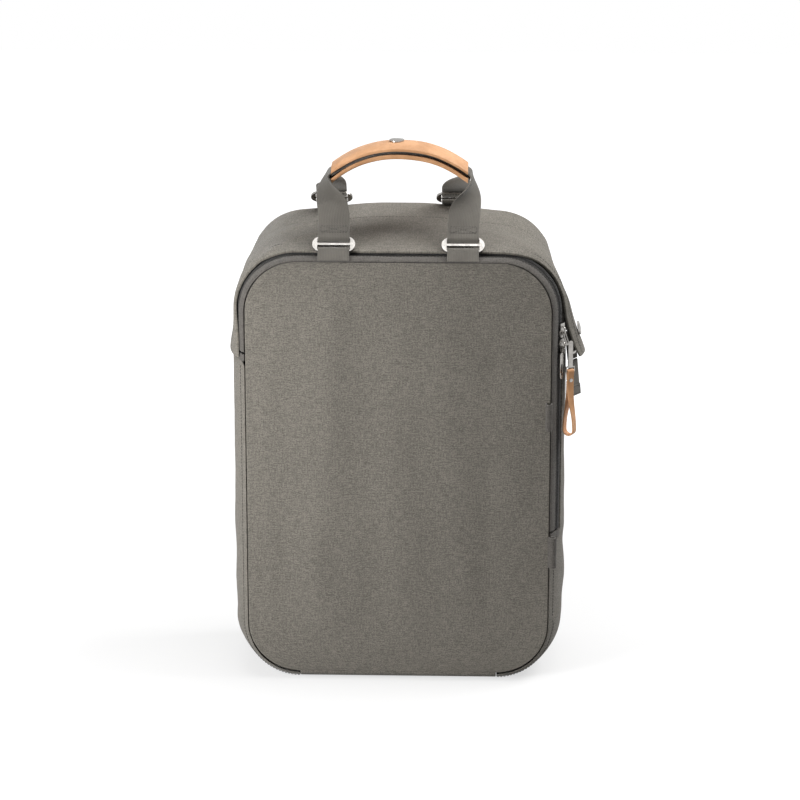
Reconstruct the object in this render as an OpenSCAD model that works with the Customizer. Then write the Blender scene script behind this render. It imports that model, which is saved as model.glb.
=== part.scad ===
// Canvas daypack with a zipped front panel, a rain hood over the zip and a folding leather grip.
// Millimetres. +Z is up, the front panel faces -Y and +X is to the right in the front view.
// The origin is the centre of the flat base.

/* [Bag body] */
// Width of the front panel between its side seams
front_w = 292; // [250:2:330]
// Height of the front panel between its bottom and top seams
front_h = 414; // [370:2:450]
// Radius of the front panel's corners
corner_r = 50; // [40:1:60]
// Height of the front panel's bottom seam over the floor
front_lift = 8; // [5:0.5:10]
// Distance from the front seam to the back seam
bag_depth = 130; // [115:1:150]
// How far the side gussets swell out past the front seam
side_bulge = 14.5; // [10:0.5:18]
// How far the back seam lies outside the front seam at the sides
back_spread = 8; // [4:0.5:12]
// Height of the back seam over the front seam at the top
top_rise = 23; // [14:1:30]
// How far the filled front panel swells forward
panel_crown = 5; // [3:0.5:8]
// Thickness of the backed canvas
cloth_t = 2.4; // [1.8:0.1:3]
// Thickness of the lining
lining_t = 1; // [0.6:0.1:1.4]

/* [Zip and hood] */
// Width of the bevelled band between the front seam and the zip
strip_w = 9; // [7:0.5:10]
// Distance of the zip's centre line behind the front seam
zip_q = 13.5; // [12.5:0.5:15]
// Thickness of the zip's coil
coil_t = 2.5; // [2:0.1:3]
// Width of one half of the coil
coil_w = 1.7; // [1.4:0.1:2]
// Thickness of the zip tape
tape_t = 0.7; // [0.5:0.1:0.9]
// Distance of the zip's left end below the front panel's top
zip_left_drop = 92; // [80:1:110]
// Distance of the zip's right end below the front panel's top
zip_right_drop = 270; // [230:1:282]
// Distance of the hood's lower edges below the front panel's top
hood_drop = 96; // [86:1:106]
// How far the hood's free right corner stands away from the side
hood_flare = 16; // [8:0.5:20]
// Height over the hood's lower edge at which it starts to stand away
flare_h = 64; // [50:1:75]

/* [Handles] */
// Width of the handle webbing
web_w = 30; // [25:1:32]
// Thickness of the handle webbing
web_t = 1.6; // [1.2:0.1:2]
// Distance between the two front rings, centre to centre
ring_span = 122; // [110:1:130]
// How far the rear handle sits to the left of the front one
rear_shift = 7; // [0:1:10]
// Length of a ring
ring_w = 40.5; // [39:0.5:43]
// Height of a ring across its three bars
ring_h = 16; // [15:0.5:18]
// Thickness of a ring's plate and bars
ring_t = 2.2; // [1.8:0.1:2.6]
// Height of the grip's underside over the front panel's top, at its middle
grip_rise = 88.5; // [75:0.5:98]
// Length of the leather grip, end to end
grip_len = 130; // [120:1:140]
// How far the grip's ends hang below its middle
grip_drop = 22; // [14:1:26]
// Width of the folded grip, front to back
grip_w = 38; // [36:0.5:42]
// Thickness of the grip leather
leather_t = 2.5; // [2:0.1:3]

/* [Closures] */
// Width of a zip slider
slider_w = 8.6; // [8:0.1:8.8]
// Length of a zip slider
slider_l = 14; // [12:0.5:15]
// Distance of the joint between the two sliders below the front panel's top, with the zip shut
slider_drop = 76; // [74:1:86]
// Length of a metal zip pull
pull_l = 31; // [26:1:33]
// Length of the leather loop on the upper pull
loop_l = 66; // [55:1:75]
// Width of the snap strap
strap_w = 15; // [12:1:16]
// Length of the loose end of the snap strap
strap_l = 37; // [30:1:45]
// Diameter of the large snap caps
cap_d = 14; // [12:0.5:15]

/* [Shoulder straps] */
// Width of a padded shoulder strap
pad_w = 58; // [50:1:62]
// Thickness of a padded shoulder strap
pad_t = 10; // [8:0.5:11]
// Width of the adjusting webbing
low_w = 25; // [20:1:26]
// Distance of the padded strap's lower end below the front panel's top
pad_drop = 272; // [240:1:292]
// How far a padded strap stands off the back at its middle
pad_swell = 27; // [20:1:32]

/* [Hidden] */

$fn = 48;
canvas = [0.44, 0.43, 0.41];
canvas_dark = [0.34, 0.33, 0.31];
webbing = [0.40, 0.39, 0.37];
lining = [0.22, 0.22, 0.22];
leather = [0.86, 0.66, 0.47];
steel = [0.75, 0.75, 0.76];

gap = 0.4;                       // clearance between soft pieces that lie on each other
half_w = front_w / 2;
y_front = -bag_depth / 2;
y_back = bag_depth / 2;
z_seam_lo = front_lift;
z_seam_hi = front_lift + front_h;
zip_left_z = z_seam_hi - zip_left_drop;
zip_right_z = z_seam_hi - zip_right_drop;
hood_z = z_seam_hi - hood_drop;
slider_z = z_seam_hi - slider_drop;
grip_z = z_seam_hi + grip_rise;
corner_x = half_w - corner_r;
corner_lo = z_seam_lo + corner_r;
corner_hi = z_seam_hi - corner_r;

// ---- The bag's outer skin: rounded rectangles that swell from the front seam to the back seam ----

function mix(a, b, f) = a + (b - a) * f;
function ease(f) = let (g = max(0, min(1, f))) g * g * (3 - 2 * g);

// Outward offsets from the front seam's outline, at a distance q behind it
peak_q = bag_depth * 0.48;
function side_off(q) = q < peak_q
  ? side_bulge * (1 - pow(1 - q / peak_q, 3.2))
  : mix(side_bulge, back_spread, pow((q - peak_q) / (bag_depth - peak_q), 2));
function top_off(q) = top_rise * (0.35 * (1 - pow(1 - q / bag_depth, 6)) + 0.65 * pow(q / bag_depth, 0.95));
base_round = 14;
function base_off(q) = let (m = min(q, bag_depth - q, base_round))
  front_lift * sqrt(1 - pow(1 - m / base_round, 2));

// A station on the outline is [x, z, angle]: the centre of curvature and the direction outwards
function wall(s, q, e) = let (
    c2 = pow(cos(s[2]), 2),
    off = side_off(q) * c2 + (sin(s[2]) >= 0 ? top_off(q) : base_off(q)) * (1 - c2),
    r = corner_r + off + e
  ) [s[0] + r * cos(s[2]), y_front + q, s[1] + r * sin(s[2])];

corner_step = 11.25;
function side_run(sx, z_from, z_to, n) =
  [for (i = [0 : n]) [sx * corner_x, mix(z_from, z_to, i / n), sx > 0 ? 0 : 180]];
function arc_run(sx, zc, a_from, a_to) = let (n = round(abs(a_to - a_from) / corner_step))
  [for (i = [1 : n - 1]) [sx * corner_x, zc, mix(a_from, a_to, i / n)]];
function flat_run(zc, a, n) = [for (i = [0 : n]) [mix(-corner_x, corner_x, i / n), zc, a]];
function over_top(z_left, z_right, n_left = 3, n_right = 3) = concat(
  side_run(-1, z_left, corner_hi, n_left), arc_run(-1, corner_hi, 180, 90),
  flat_run(corner_hi, 90, 5), arc_run(1, corner_hi, 90, 0),
  side_run(1, corner_hi, z_right, n_right));

// ---- Solids made from grids of points ----

// A closed sheet between an outer and an inner grid of points with equal rows and columns
module sheet(outer, inner) {
  n = len(outer);
  m = len(outer[0]);
  k = n * m;
  function at(i, j) = i * m + j;
  function quad(a, b, c, d) = [[a, b, c], [a, c, d]];
  outer_faces = [for (i = [0 : n - 2], j = [0 : m - 2])
    each quad(at(i, j), at(i + 1, j), at(i + 1, j + 1), at(i, j + 1))];
  inner_faces = [for (i = [0 : n - 2], j = [0 : m - 2])
    each quad(k + at(i, j), k + at(i, j + 1), k + at(i + 1, j + 1), k + at(i + 1, j))];
  long_edges = [for (i = [0 : n - 2])
    each concat(
      quad(at(i, 0), k + at(i, 0), k + at(i + 1, 0), at(i + 1, 0)),
      quad(at(i, m - 1), at(i + 1, m - 1), k + at(i + 1, m - 1), k + at(i, m - 1)))];
  short_edges = [for (j = [0 : m - 2])
    each concat(
      quad(at(0, j), at(0, j + 1), k + at(0, j + 1), k + at(0, j)),
      quad(at(n - 1, j), k + at(n - 1, j), k + at(n - 1, j + 1), at(n - 1, j + 1)))];
  // The grid may run either way round, so the faces are turned to look outwards
  mid = floor(m / 2);
  facing = cross(outer[1][mid] - outer[0][mid], outer[0][mid] - outer[0][mid - 1])
    * (outer[0][mid] - inner[0][mid]);
  all_faces = concat(outer_faces, inner_faces, long_edges, short_edges);
  polyhedron(
    points = concat([for (row = outer) each row], [for (row = inner) each row]),
    faces = facing > 0 ? [for (f = all_faces) [f[2], f[1], f[0]]] : all_faces,
    convexity = 6);
}

// A piece of the bag's wall along stations, with columns [q, outer offset, inner offset].
// A fourth number in a column is the q of its inner point, for an edge cut on the slant.
module wall_band(stations, columns) {
  sheet(
    [for (s = stations) [for (c = columns) wall(s, c[0], c[1])]],
    [for (s = stations) [for (c = columns) wall(s, len(c) > 3 ? c[3] : c[0], c[2])]]);
}

// Columns at the given q values, all with the same offsets
function cloth_columns(qs, e_out, e_in) = [for (q = qs) [q, e_out, e_in]];

// Shares of the way across the wall: closer together where it curves most
wall_shares = [0, 0.03, 0.08, 0.15, 0.25, 0.38, 0.53, 0.7, 0.85, 0.92, 0.97, 1];
seam_gap = 0.3;                  // clearance between canvas pieces at a seam

// A flat strap along stations [x, y, z, side angle]: the side vector lies level at that angle
function unit(v) = v / norm(v);
function tangent(p, i) = let (
    a = p[max(i - 1, 0)],
    b = p[min(i + 1, len(p) - 1)]
  ) unit([b[0] - a[0], b[1] - a[1], b[2] - a[2]]);
module ribbon(path, width, thick) {
  function edge(i, side, face) = let (
      s = [cos(path[i][3]), sin(path[i][3]), 0],
      n = unit(cross(s, tangent(path, i)))
    ) [path[i][0], path[i][1], path[i][2]] + s * side * width / 2 + n * face * thick / 2;
  sheet(
    [for (i = [0 : len(path) - 1]) [edge(i, 1, 1), edge(i, 0, 1), edge(i, -1, 1)]],
    [for (i = [0 : len(path) - 1]) [edge(i, 1, -1), edge(i, 0, -1), edge(i, -1, -1)]]);
}

module racetrack(length, width) {
  square([length - width, width], center = true);
  for (s = [-1, 1]) translate([s * (length - width) / 2, 0]) circle(d = width);
}

// ---- Front panel, its fold line and its lining ----

// Half of the front panel's width at a height
function panel_half(z) = let (d = max(0, corner_lo - z, z - corner_hi))
  corner_x + sqrt(max(0, pow(corner_r, 2) - d * d));
panel_rows = concat(
  [for (a = [-90 : 15 : 0]) corner_lo + corner_r * sin(a)],
  [for (i = [1 : 7]) mix(corner_lo, corner_hi, i / 8)],
  [for (a = [0 : 15 : 90]) corner_hi + corner_r * sin(a)]);
panel_mid = (z_seam_lo + z_seam_hi) / 2;
function crown(f, z) = panel_crown * (1 - f * f) * (1 - pow((z - panel_mid) / (front_h / 2), 2));

// Its edges are cut on the slant, to meet the wall pieces at the corner
module crowned_sheet(e_front, thick, shrink) {
  function point(f, z, e) =
    let (cut = shrink + e - e_front) [
      f * (panel_half(z) - cut), y_front - crown(f, z) + e, mix(panel_mid, z, 1 - cut / (front_h / 2))];
  cols = [for (i = [-5 : 5]) i / 5];
  sheet(
    [for (z = panel_rows) [for (f = cols) point(f, z, e_front)]],
    [for (z = panel_rows) [for (f = cols) point(f, z, e_front + thick)]]);
}

// The open front folds along a slanting line between the two ends of the zip
fold_run = front_w;
fold_fall = zip_left_z - zip_right_z;
fold_angle = atan2(-fold_fall, fold_run);
fold_gap = 0.5;
module above_fold(sign, clear) {
  translate([-half_w, 0, zip_left_z])
    rotate([0, -fold_angle, 0])
      translate([-front_w, -front_w, sign > 0 ? clear : -2 * front_h - clear])
        cube([3 * front_w, 2 * front_w, 2 * front_h]);
}

module front_panel() {
  color(canvas)
    intersection() {
      crowned_sheet(0, cloth_t, 0);
      above_fold(1, fold_gap / 2);
    }
}

module front_foot_panel() {
  color(canvas)
    intersection() {
      crowned_sheet(0, cloth_t, 0);
      above_fold(-1, fold_gap / 2);
    }
}

module front_lining() {
  color(lining)
    intersection() {
      crowned_sheet(cloth_t + gap, lining_t, 6);
      above_fold(1, fold_gap);
    }
}

// ---- Zip: bevelled band, two tapes with their coil halves, end stitches ----

coil_top = 0.8;
coil_low = coil_top - coil_t;
tape_low = -cloth_t - gap;
coil_half_gap = 0.2;
zip_path = over_top(zip_left_z + 2, zip_right_z + 2, 2, 8);

module zip_strip() {
  color(canvas_dark)
    wall_band(zip_path, [
      [seam_gap, 0, -cloth_t, cloth_t + seam_gap], [strip_w * 0.5, 0.3, -cloth_t], [strip_w, 0, -cloth_t]]);
}

module zip_tape_front() {
  edge = zip_q - coil_half_gap;
  color(canvas_dark)
    wall_band(zip_path, [
      [cloth_t + gap + seam_gap, tape_low, tape_low - tape_t],
      [strip_w + 0.1, tape_low, tape_low - tape_t], [strip_w + 0.7, -0.4, -0.4 - tape_t],
      [edge - coil_w - 0.2, -0.1, -0.1 - tape_t], [edge - coil_w, coil_top, coil_low],
      [edge, coil_top, coil_low]]);
}

gusset_q = zip_q + 7.5;          // front edge of the gussets beside the zip
module zip_tape_body() {
  edge = zip_q + coil_half_gap;
  color(canvas_dark)
    wall_band(zip_path, [
      [edge, coil_top, coil_low], [edge + coil_w, coil_top, coil_low],
      [edge + coil_w + 0.2, -0.1, -0.1 - tape_t], [gusset_q - 2.4, -0.4, -0.4 - tape_t],
      [gusset_q - gap, tape_low, tape_low - tape_t],
      [gusset_q + 8, tape_low, tape_low - tape_t]]);
}

// A stitched end piece that closes the zip across its two tapes
zip_end_l = 7;
module zip_end(sx, z_top) {
  stations = [for (z = [z_top - zip_end_l, z_top]) [sx * corner_x, z, sx > 0 ? 0 : 180]];
  ordered = sx > 0 ? [stations[1], stations[0]] : stations;
  color(canvas_dark)
    wall_band(ordered, [
      [seam_gap, 0, -cloth_t, cloth_t + seam_gap], [strip_w, 0, -cloth_t],
      [strip_w + 0.8, tape_low, tape_low - tape_t],
      [zip_q - coil_w - 0.6, coil_top, coil_low], [zip_q + coil_w + 0.6, coil_top, coil_low],
      [gusset_q - gap, tape_low, tape_low - tape_t]]);
}
module zip_end_left() { zip_end(-1, zip_left_z); }
module zip_end_right() { zip_end(1, zip_right_z); }

// ---- Hood: the cover over the top, whose right corner stands away from the side ----

hood_q = zip_q + 4;
hood_in = gap;
hood_out = hood_in + cloth_t;
hood_path = over_top(hood_z, hood_z, 3, 6);
function flare(s, q) = s[2] < 60
  ? hood_flare * pow(max(0, (hood_z + flare_h - wall(s, q, 0)[2]) / flare_h), 1.1)
      * mix(1, 0.72, ease((q - hood_q) / (bag_depth * 0.4)))
  : 0;
function hood_point(s, q, e) = wall(s, q, e) + [flare(s, q), 0, 0];
hem_w = 2.5;                     // width of the hood's rounded front edge
hood_cols = concat([hood_q, hood_q + hem_w],
  [for (f = [0.15, 0.33, 0.55, 0.78]) mix(hood_q, bag_depth, f)], [bag_depth - 2 * hem_w, bag_depth]);
module hood() {
  color(canvas)
    sheet(
      [for (s = hood_path) [for (q = hood_cols) hood_point(s, q, q == hood_q ? hood_out - 0.8 : hood_out)]],
      [for (s = hood_path) [for (q = hood_cols) hood_point(s, q, hood_in)]]);
}

// ---- Gussets, bottom and lining ----

gusset_top_left = corner_hi - 26;
gusset_top_right = corner_hi - 4;
gusset_end = bag_depth - 0.5;    // back edge of the gussets
module top_gusset() {
  color(canvas)
    wall_band(over_top(gusset_top_left + seam_gap, gusset_top_right + seam_gap, 1, 1),
      cloth_columns([for (f = wall_shares) mix(gusset_q, gusset_end, f)], 0, -cloth_t));
}

// One side, from the top gusset down round the bottom corner to the bottom panel
module gusset(sx, z_top, z_zip) {
  side = concat(
    side_run(sx, z_top, z_zip, 3),
    side_run(sx, z_zip - 0.6, corner_lo, 4),
    arc_run(sx, corner_lo, sx > 0 ? 0 : 180, sx > 0 ? -90 : 270),
    [[sx * corner_x, corner_lo, sx > 0 ? -90 : 270]]);
  ordered = sx > 0 ? side : [for (i = [len(side) - 1 : -1 : 0]) side[i]];
  function q_start(s) = s[1] >= z_zip ? gusset_q : seam_gap;
  function slant(s, f) = s[1] >= z_zip || f > 0 ? 0 : cloth_t;
  function q_at(s, f) = mix(q_start(s), gusset_end, f);
  color(canvas)
    sheet(
      [for (s = ordered) [for (f = wall_shares) wall(s, q_at(s, f), 0)]],
      [for (s = ordered) [for (f = wall_shares) wall(s, q_at(s, f) + slant(s, f), -cloth_t)]]);
}
module gusset_left() { gusset(-1, gusset_top_left, zip_left_z - zip_end_l - 1); }
module gusset_right() { gusset(1, gusset_top_right, zip_right_z - zip_end_l - 1); }

// The bottom is a flat base whose front and back edges roll up to the seams
module bottom_panel() {
  qs = concat([for (i = [0 : 5]) base_round * (1 - cos(i * 18))],
    [for (i = [5 : -1 : 0]) bag_depth - base_round * (1 - cos(i * 18))]);
  function z_at(q) = front_lift - base_off(q);
  outline = concat(
    [for (q = qs) [y_front + max(q, seam_gap), z_at(q)]],
    [for (i = [len(qs) - 1 : -1 : 0])
      [y_front + min(max(qs[i], cloth_t + seam_gap), bag_depth - cloth_t), z_at(qs[i]) + cloth_t]]);
  length = 2 * corner_x - 2 * seam_gap;
  color(canvas)
    translate([-length / 2, 0, 0])
      rotate([90, 0, 90])
        linear_extrude(length)
          polygon(outline);
}

module bottom_board() {
  board_t = 3;
  color(lining)
    translate([0, 0, cloth_t + gap])
      linear_extrude(board_t)
        square([2 * corner_x - 6, bag_depth - 2 * base_round - 4], center = true);
}

// ---- Back: panel, foam, sleeve and pocket ----

back_skin_t = 2.4;
foam_t = 8;
back_stations = concat(
  [for (s = over_top(corner_lo, corner_lo, 1, 1)) s],
  arc_run(1, corner_lo, 0, -90), [[corner_x, corner_lo, -90], [-corner_x, corner_lo, -90]],
  arc_run(-1, corner_lo, 270, 180));
module back_outline(inset) {
  polygon([for (s = back_stations) let (p = wall(s, bag_depth, -inset)) [p[0], p[2]]]);
}
module back_slab(inset, y_from, thick) {
  translate([0, y_from + thick, 0])
    rotate([90, 0, 0])
      linear_extrude(thick)
        back_outline(inset);
}

module back_panel() {
  color(canvas_dark)
    back_slab(0, y_back + 0.2, back_skin_t);
}

foam_y = y_back - foam_t - 0.2;
module back_foam() {
  color(lining)
    back_slab(cloth_t + gap + lining_t + gap, foam_y, foam_t);
}

lining_e = tape_low - tape_t - gap;
module body_lining() {
  path = concat(
    [[-corner_x + 0.1, corner_lo, -90]],
    arc_run(-1, corner_lo, 270, 180), side_run(-1, corner_lo, corner_hi, 3),
    arc_run(-1, corner_hi, 180, 90), flat_run(corner_hi, 90, 3), arc_run(1, corner_hi, 90, 0),
    side_run(1, corner_hi, corner_lo, 3), arc_run(1, corner_lo, 0, -90),
    [[corner_x - 0.1, corner_lo, -90]]);
  fixed = [for (s = path) s[2] == -90 && s[0] < 0 ? [s[0], s[1], 270] : s];
  qs = [for (i = [0 : 4]) mix(gusset_q + 9, bag_depth - foam_t - 1.5, pow(i / 4, 1.3))];
  color(lining) wall_band(fixed, cloth_columns(qs, lining_e, lining_e - lining_t));
}

sleeve_w = 262;
sleeve_h = 300;
sleeve_gap = 28;
sleeve_t = 5;
sleeve_z = 30;
sleeve_y = foam_y - gap - sleeve_gap - sleeve_t;
module laptop_sleeve() {
  depth = sleeve_gap + sleeve_t;
  color(lining)
    difference() {
      translate([-sleeve_w / 2, sleeve_y, sleeve_z])
        cube([sleeve_w, depth, sleeve_h]);
      translate([-sleeve_w / 2 + sleeve_t, sleeve_y + sleeve_t, sleeve_z + sleeve_t])
        cube([sleeve_w - 2 * sleeve_t, depth, sleeve_h]);
    }
}

pocket_w = 200;
pocket_h = 130;
pocket_gap = 8;
pocket_t = 1.5;
module inner_pocket() {
  depth = pocket_gap + pocket_t;
  pocket_drop = 20;              // the pocket's mouth lies this far below the sleeve's
  color(lining)
    translate([-pocket_w / 2, sleeve_y - gap - depth, sleeve_z + sleeve_h - pocket_h - pocket_drop])
      difference() {
        cube([pocket_w, depth, pocket_h]);
        translate([pocket_t, pocket_t, pocket_t]) cube([pocket_w - 2 * pocket_t, depth, pocket_h]);
      }
}

// ---- Folded webbing loops in the right front seam ----

loop_out = 8;
loop_t = 1.4;
loop_r = 3.2;                    // outer radius of the fold
module side_loop(z_low, height, lean, out) {
  straight = loop_out - loop_r;
  module fold(r) {
    translate([0, -r]) square([straight, 2 * r]);
    translate([straight, 0]) circle(r = r);
  }
  color(canvas_dark)
    translate([half_w, y_front, z_low])
      rotate([0, 0, lean])
        translate([out, 0, 0])
          linear_extrude(height)
            difference() {
              fold(loop_r);
              fold(loop_r - loop_t);
            }
}
side_loop_h = 27;
upper_loop_z = zip_right_z + 106;
lower_loop_z = zip_right_z - 33;
module side_loop_upper() { side_loop(upper_loop_z, side_loop_h, -58, -0.38); }
module side_loop_lower() { side_loop(lower_loop_z, side_loop_h + 4, -40, 0.14); }

// ---- Sliders and pulls, built in a frame at the zip's centre line on the right ----
// In that frame -Y points outwards from the zip and +X runs across it towards the hood.

zip_turn = 53;
zip_mid_e = (coil_top + coil_low) / 2;
zip_x = wall([corner_x, 0, 0], zip_q, zip_mid_e)[0];
zip_y = y_front + zip_q;
module at_zip(z) {
  translate([zip_x, zip_y, z]) rotate([0, 0, zip_turn]) children();
}

channel = 1.9;                   // half of the height of the slider's channel
plate_t = 1.2;
bail_h = 2.4;                    // clear height under the bail
bail_l = 8.4;
bail_wire = 0.9;
bail_w = 1.6;
// Wide and round at its nose, narrow where the shut zip leaves it
module slider_plate(up) {
  translate([0, -up * slider_l * 0.1]) square([slider_w * 0.72, slider_l * 0.8], center = true);
  translate([0, up * slider_l * 0.18]) racetrack(slider_w, slider_l * 0.64);
}
module slider(z_mid, up) {
  plate_out = channel + plate_t;
  color(steel)
    at_zip(z_mid)
      union() {
        for (s = [-1, 1])
          translate([0, s * (channel + plate_t / 2), 0])
            rotate([90, 0, 0])
              linear_extrude(plate_t, center = true)
                slider_plate(up);
        translate([0, 0, up * (slider_l / 2 - 1.6)])
          rotate([0, 0, -zip_turn])
            cube([(2 * channel + 0.4) / sin(zip_turn), 2 * coil_half_gap - 0.1, 2.6], center = true);
        translate([0, -plate_out, 0])
          rotate([90, 0, 90])
            linear_extrude(bail_w, center = true)
              intersection() {
                difference() {
                  rotate(90) racetrack(bail_l, 2 * (bail_h + bail_wire));
                  rotate(90) racetrack(bail_l - 2 * bail_wire, 2 * bail_h);
                }
                translate([-10, -10]) square([10.1, 20]);
              }
      }
}
upper_mid = slider_z + slider_l / 2 + 0.5;
lower_mid = slider_z - slider_l / 2 - 0.5;
module slider_upper() { slider(upper_mid, -1); }
module slider_lower() { slider(lower_mid, 1); }

// Both pulls turn on the lower leg of their slider's bail
pull_t = 1.3;
pull_w = 4.8;
pull_bar = 1.4;
pull_y = -channel - plate_t - bail_h / 2;
pull_side = 1;                   // width of the side bars of a pull's eye
pull_eye_w = bail_w + 0.5 + 2 * pull_side;
// The pull's bar hangs as low in the rounded bail as its corners let it
pull_drop = bail_l / 2 - bail_wire - bail_h + sqrt(pow(bail_h, 2) - pow(bail_h / 2 + pull_t / 2, 2))
  - pull_bar / 2 - 0.2;
module pull_eye(height) {
  difference() {
    translate([0, pull_bar / 2 - height / 2]) square([pull_eye_w, height], center = true);
    translate([0, -height / 2]) square([pull_eye_w - 2 * pull_side, height - pull_bar], center = true);
  }
}
lower_shift = 3.2;              // the two pulls hang side by side
lower_pull_l = 26;
eye_l = 7;                       // length of the lower pull's eye
slot_w = 1.8;
module pull_lower() {
  color(steel)
    at_zip(lower_mid - pull_drop)
      translate([0, pull_y, 0])
        rotate([90, 0, 0])
          linear_extrude(pull_t, center = true)
            union() {
              pull_eye(eye_l);
              translate([-lower_shift, pull_w / 2 - eye_l - lower_pull_l / 2])
                difference() {
                  rotate(90) racetrack(lower_pull_l, pull_w);
                  translate([0, -pull_w * 0.8]) rotate(90) racetrack(lower_pull_l - 3 * pull_w, slot_w);
                }
            }
}

// The upper pull leans out over the lower slider, then hangs straight down to a wide eye
link_l = 12;
link_tilt = 24;
upper_shift = 4.8;
plate_turn = -26;                // its lower part turns to face the front
upper_pull_y = pull_y - link_l * sin(link_tilt);
upper_pull_z = -link_l * cos(link_tilt);
loop_neck = 7;                   // width of the leather loop's neck
loop_skin = 1.3;                 // thickness of one layer of the leather loop
eye_w = loop_neck + 0.5 + 2 * 0.9;
eye_h = 5.6;
eye_bar = 1.3;
eye_z = upper_pull_z - pull_l + pull_w / 2 + eye_h / 2;  // height of the eye's middle
module pull_upper() {
  color(steel)
    at_zip(upper_mid - pull_drop)
      translate([0, pull_y, 0])
        union() {
          rotate([90 - link_tilt, 0, 0])
            linear_extrude(pull_t, center = true)
              union() {
                pull_eye(link_l + 0.4);
                translate([upper_shift / 2, -link_l])
                  square([pull_w + abs(upper_shift), 1.6], center = true);
              }
          translate([upper_shift, upper_pull_y - pull_y, 0])
            rotate([90, 0, plate_turn])
              linear_extrude(pull_t, center = true)
                difference() {
                  union() {
                    translate([0, upper_pull_z - pull_l / 2 + pull_w / 2])
                      rotate(90) racetrack(pull_l, pull_w);
                    translate([0, eye_z]) square([eye_w, eye_h], center = true);
                  }
                  translate([0, eye_z]) square([loop_neck + 0.5, eye_h - 2 * eye_bar], center = true);
                }
        }
}

// The leather loop is one strip: it is folded over the eye's lower bar and riveted, and below the
// rivet its two strands part into a drop shape
loop_bar_z = eye_z - eye_h / 2 + eye_bar / 2;
loop_bend = eye_bar / 2 * 1.42 + 0.3 + loop_skin / 2;    // radius of the strip's centre over the bar
loop_flat = loop_skin / 2 + 0.1;
loop_open = 3.4;
loop_join = 5;                   // distance below the bar at which the strands meet
loop_part = 14;                  // distance below the bar at which the strands part
loop_low = loop_l - loop_bend - loop_skin / 2 - loop_open;
function loop_half(u) = u < loop_join
  ? mix(loop_bend, loop_flat, ease(u / loop_join))
  : mix(loop_flat, loop_open, ease((u - loop_part) / (loop_low - loop_part)));
function loop_row(u, off, up) =
  [-off * sin(plate_turn), off * cos(plate_turn), loop_bar_z - u + up, plate_turn];
loop_steps = [2.5, loop_join, 9.5, loop_part, 22, 30, 38, 46];
module leather_pull() {
  strand = [for (u = loop_steps) if (u < loop_low - 2) u];
  path = concat(
    [for (i = [2 : -1 : 0]) loop_row(strand[i], loop_half(strand[i]), 0)],
    [for (a = [0 : 45 : 180]) loop_row(0, loop_bend * cos(a), loop_bend * sin(a))],
    [for (u = strand) loop_row(u, -loop_half(u), 0)],
    [for (a = [180 : 30 : 360]) loop_row(loop_low, loop_open * cos(a), loop_open * sin(a))],
    [for (i = [len(strand) - 1 : -1 : 3]) loop_row(strand[i], loop_half(strand[i]), 0)],
    [loop_row(strand[2] + 0.4, loop_flat, 0)]);
  color(leather)
    at_zip(upper_mid - pull_drop)
      translate([upper_shift, upper_pull_y, 0])
        ribbon(path, loop_neck, loop_skin);
}
rivet_r = 1.8;
module leather_pull_rivet() {
  rivet_u = (loop_join + loop_part) / 2 - 1;
  color(steel)
    at_zip(upper_mid - pull_drop)
      translate([upper_shift, upper_pull_y, loop_bar_z - rivet_u])
        rotate([90, 0, plate_turn])
          for (s = [-1, 1])
            translate([0, 0, s * (loop_flat + loop_skin / 2 + 0.6)])
              cylinder(r = rivet_r, h = 0.8, center = true);
}

// ---- Handles: tabs, rings, webbing and the leather grip ----

web_gap = 0.3;
wrap_r = ring_t * 0.71 + web_gap + web_t / 2;
ring_lean = 47;                  // angle of a ring's plane over the horizontal
bar_step = (ring_h - ring_t) / 2;
front_bar = [-ring_span / 2, y_front + 8.5, z_seam_hi + 8.5];  // centre of the front rings' lower bars
rear_bar = [-ring_span / 2, y_back - 4, z_seam_hi + top_rise + 5];

// A point beside a ring bar: along the ring's plane, then off its face
function off_bar(bar, lean, along, out) =
  bar + [0, along * cos(lean) - out * sin(lean), along * sin(lean) + out * cos(lean)];
function front_at(along, out) = off_bar(front_bar, ring_lean, along, out);
function rear_at(along, out) =
  let (p = off_bar([0, 0, 0], ring_lean, along, out)) [rear_bar[0], rear_bar[1] - p[1], rear_bar[2] + p[2]];
function mirror_x(p) = [-p[0], p[1], p[2]];
function with_side(p, a) = [p[0], p[1], p[2], a];

module ring(bar, lean) {
  color(steel)
    translate(bar)
      rotate([lean, 0, 0])
        translate([0, bar_step, 0])
          linear_extrude(ring_t, center = true)
            difference() {
              racetrack(ring_w, ring_h);
              for (s = [-1, 1])
                translate([0, s * bar_step / 2]) square([web_w + 1, bar_step - ring_t], center = true);
            }
}
module front_ring_left() { ring(front_bar, ring_lean); }
module front_ring_right() { mirror([1, 0, 0]) ring(front_bar, ring_lean); }
module rear_ring_left() { translate([-rear_shift, 0, 0]) ring(rear_bar, 180 - ring_lean); }
module rear_ring_right() {
  translate([-rear_shift, 0, 0]) mirror([1, 0, 0]) ring(rear_bar, 180 - ring_lean);
}

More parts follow.
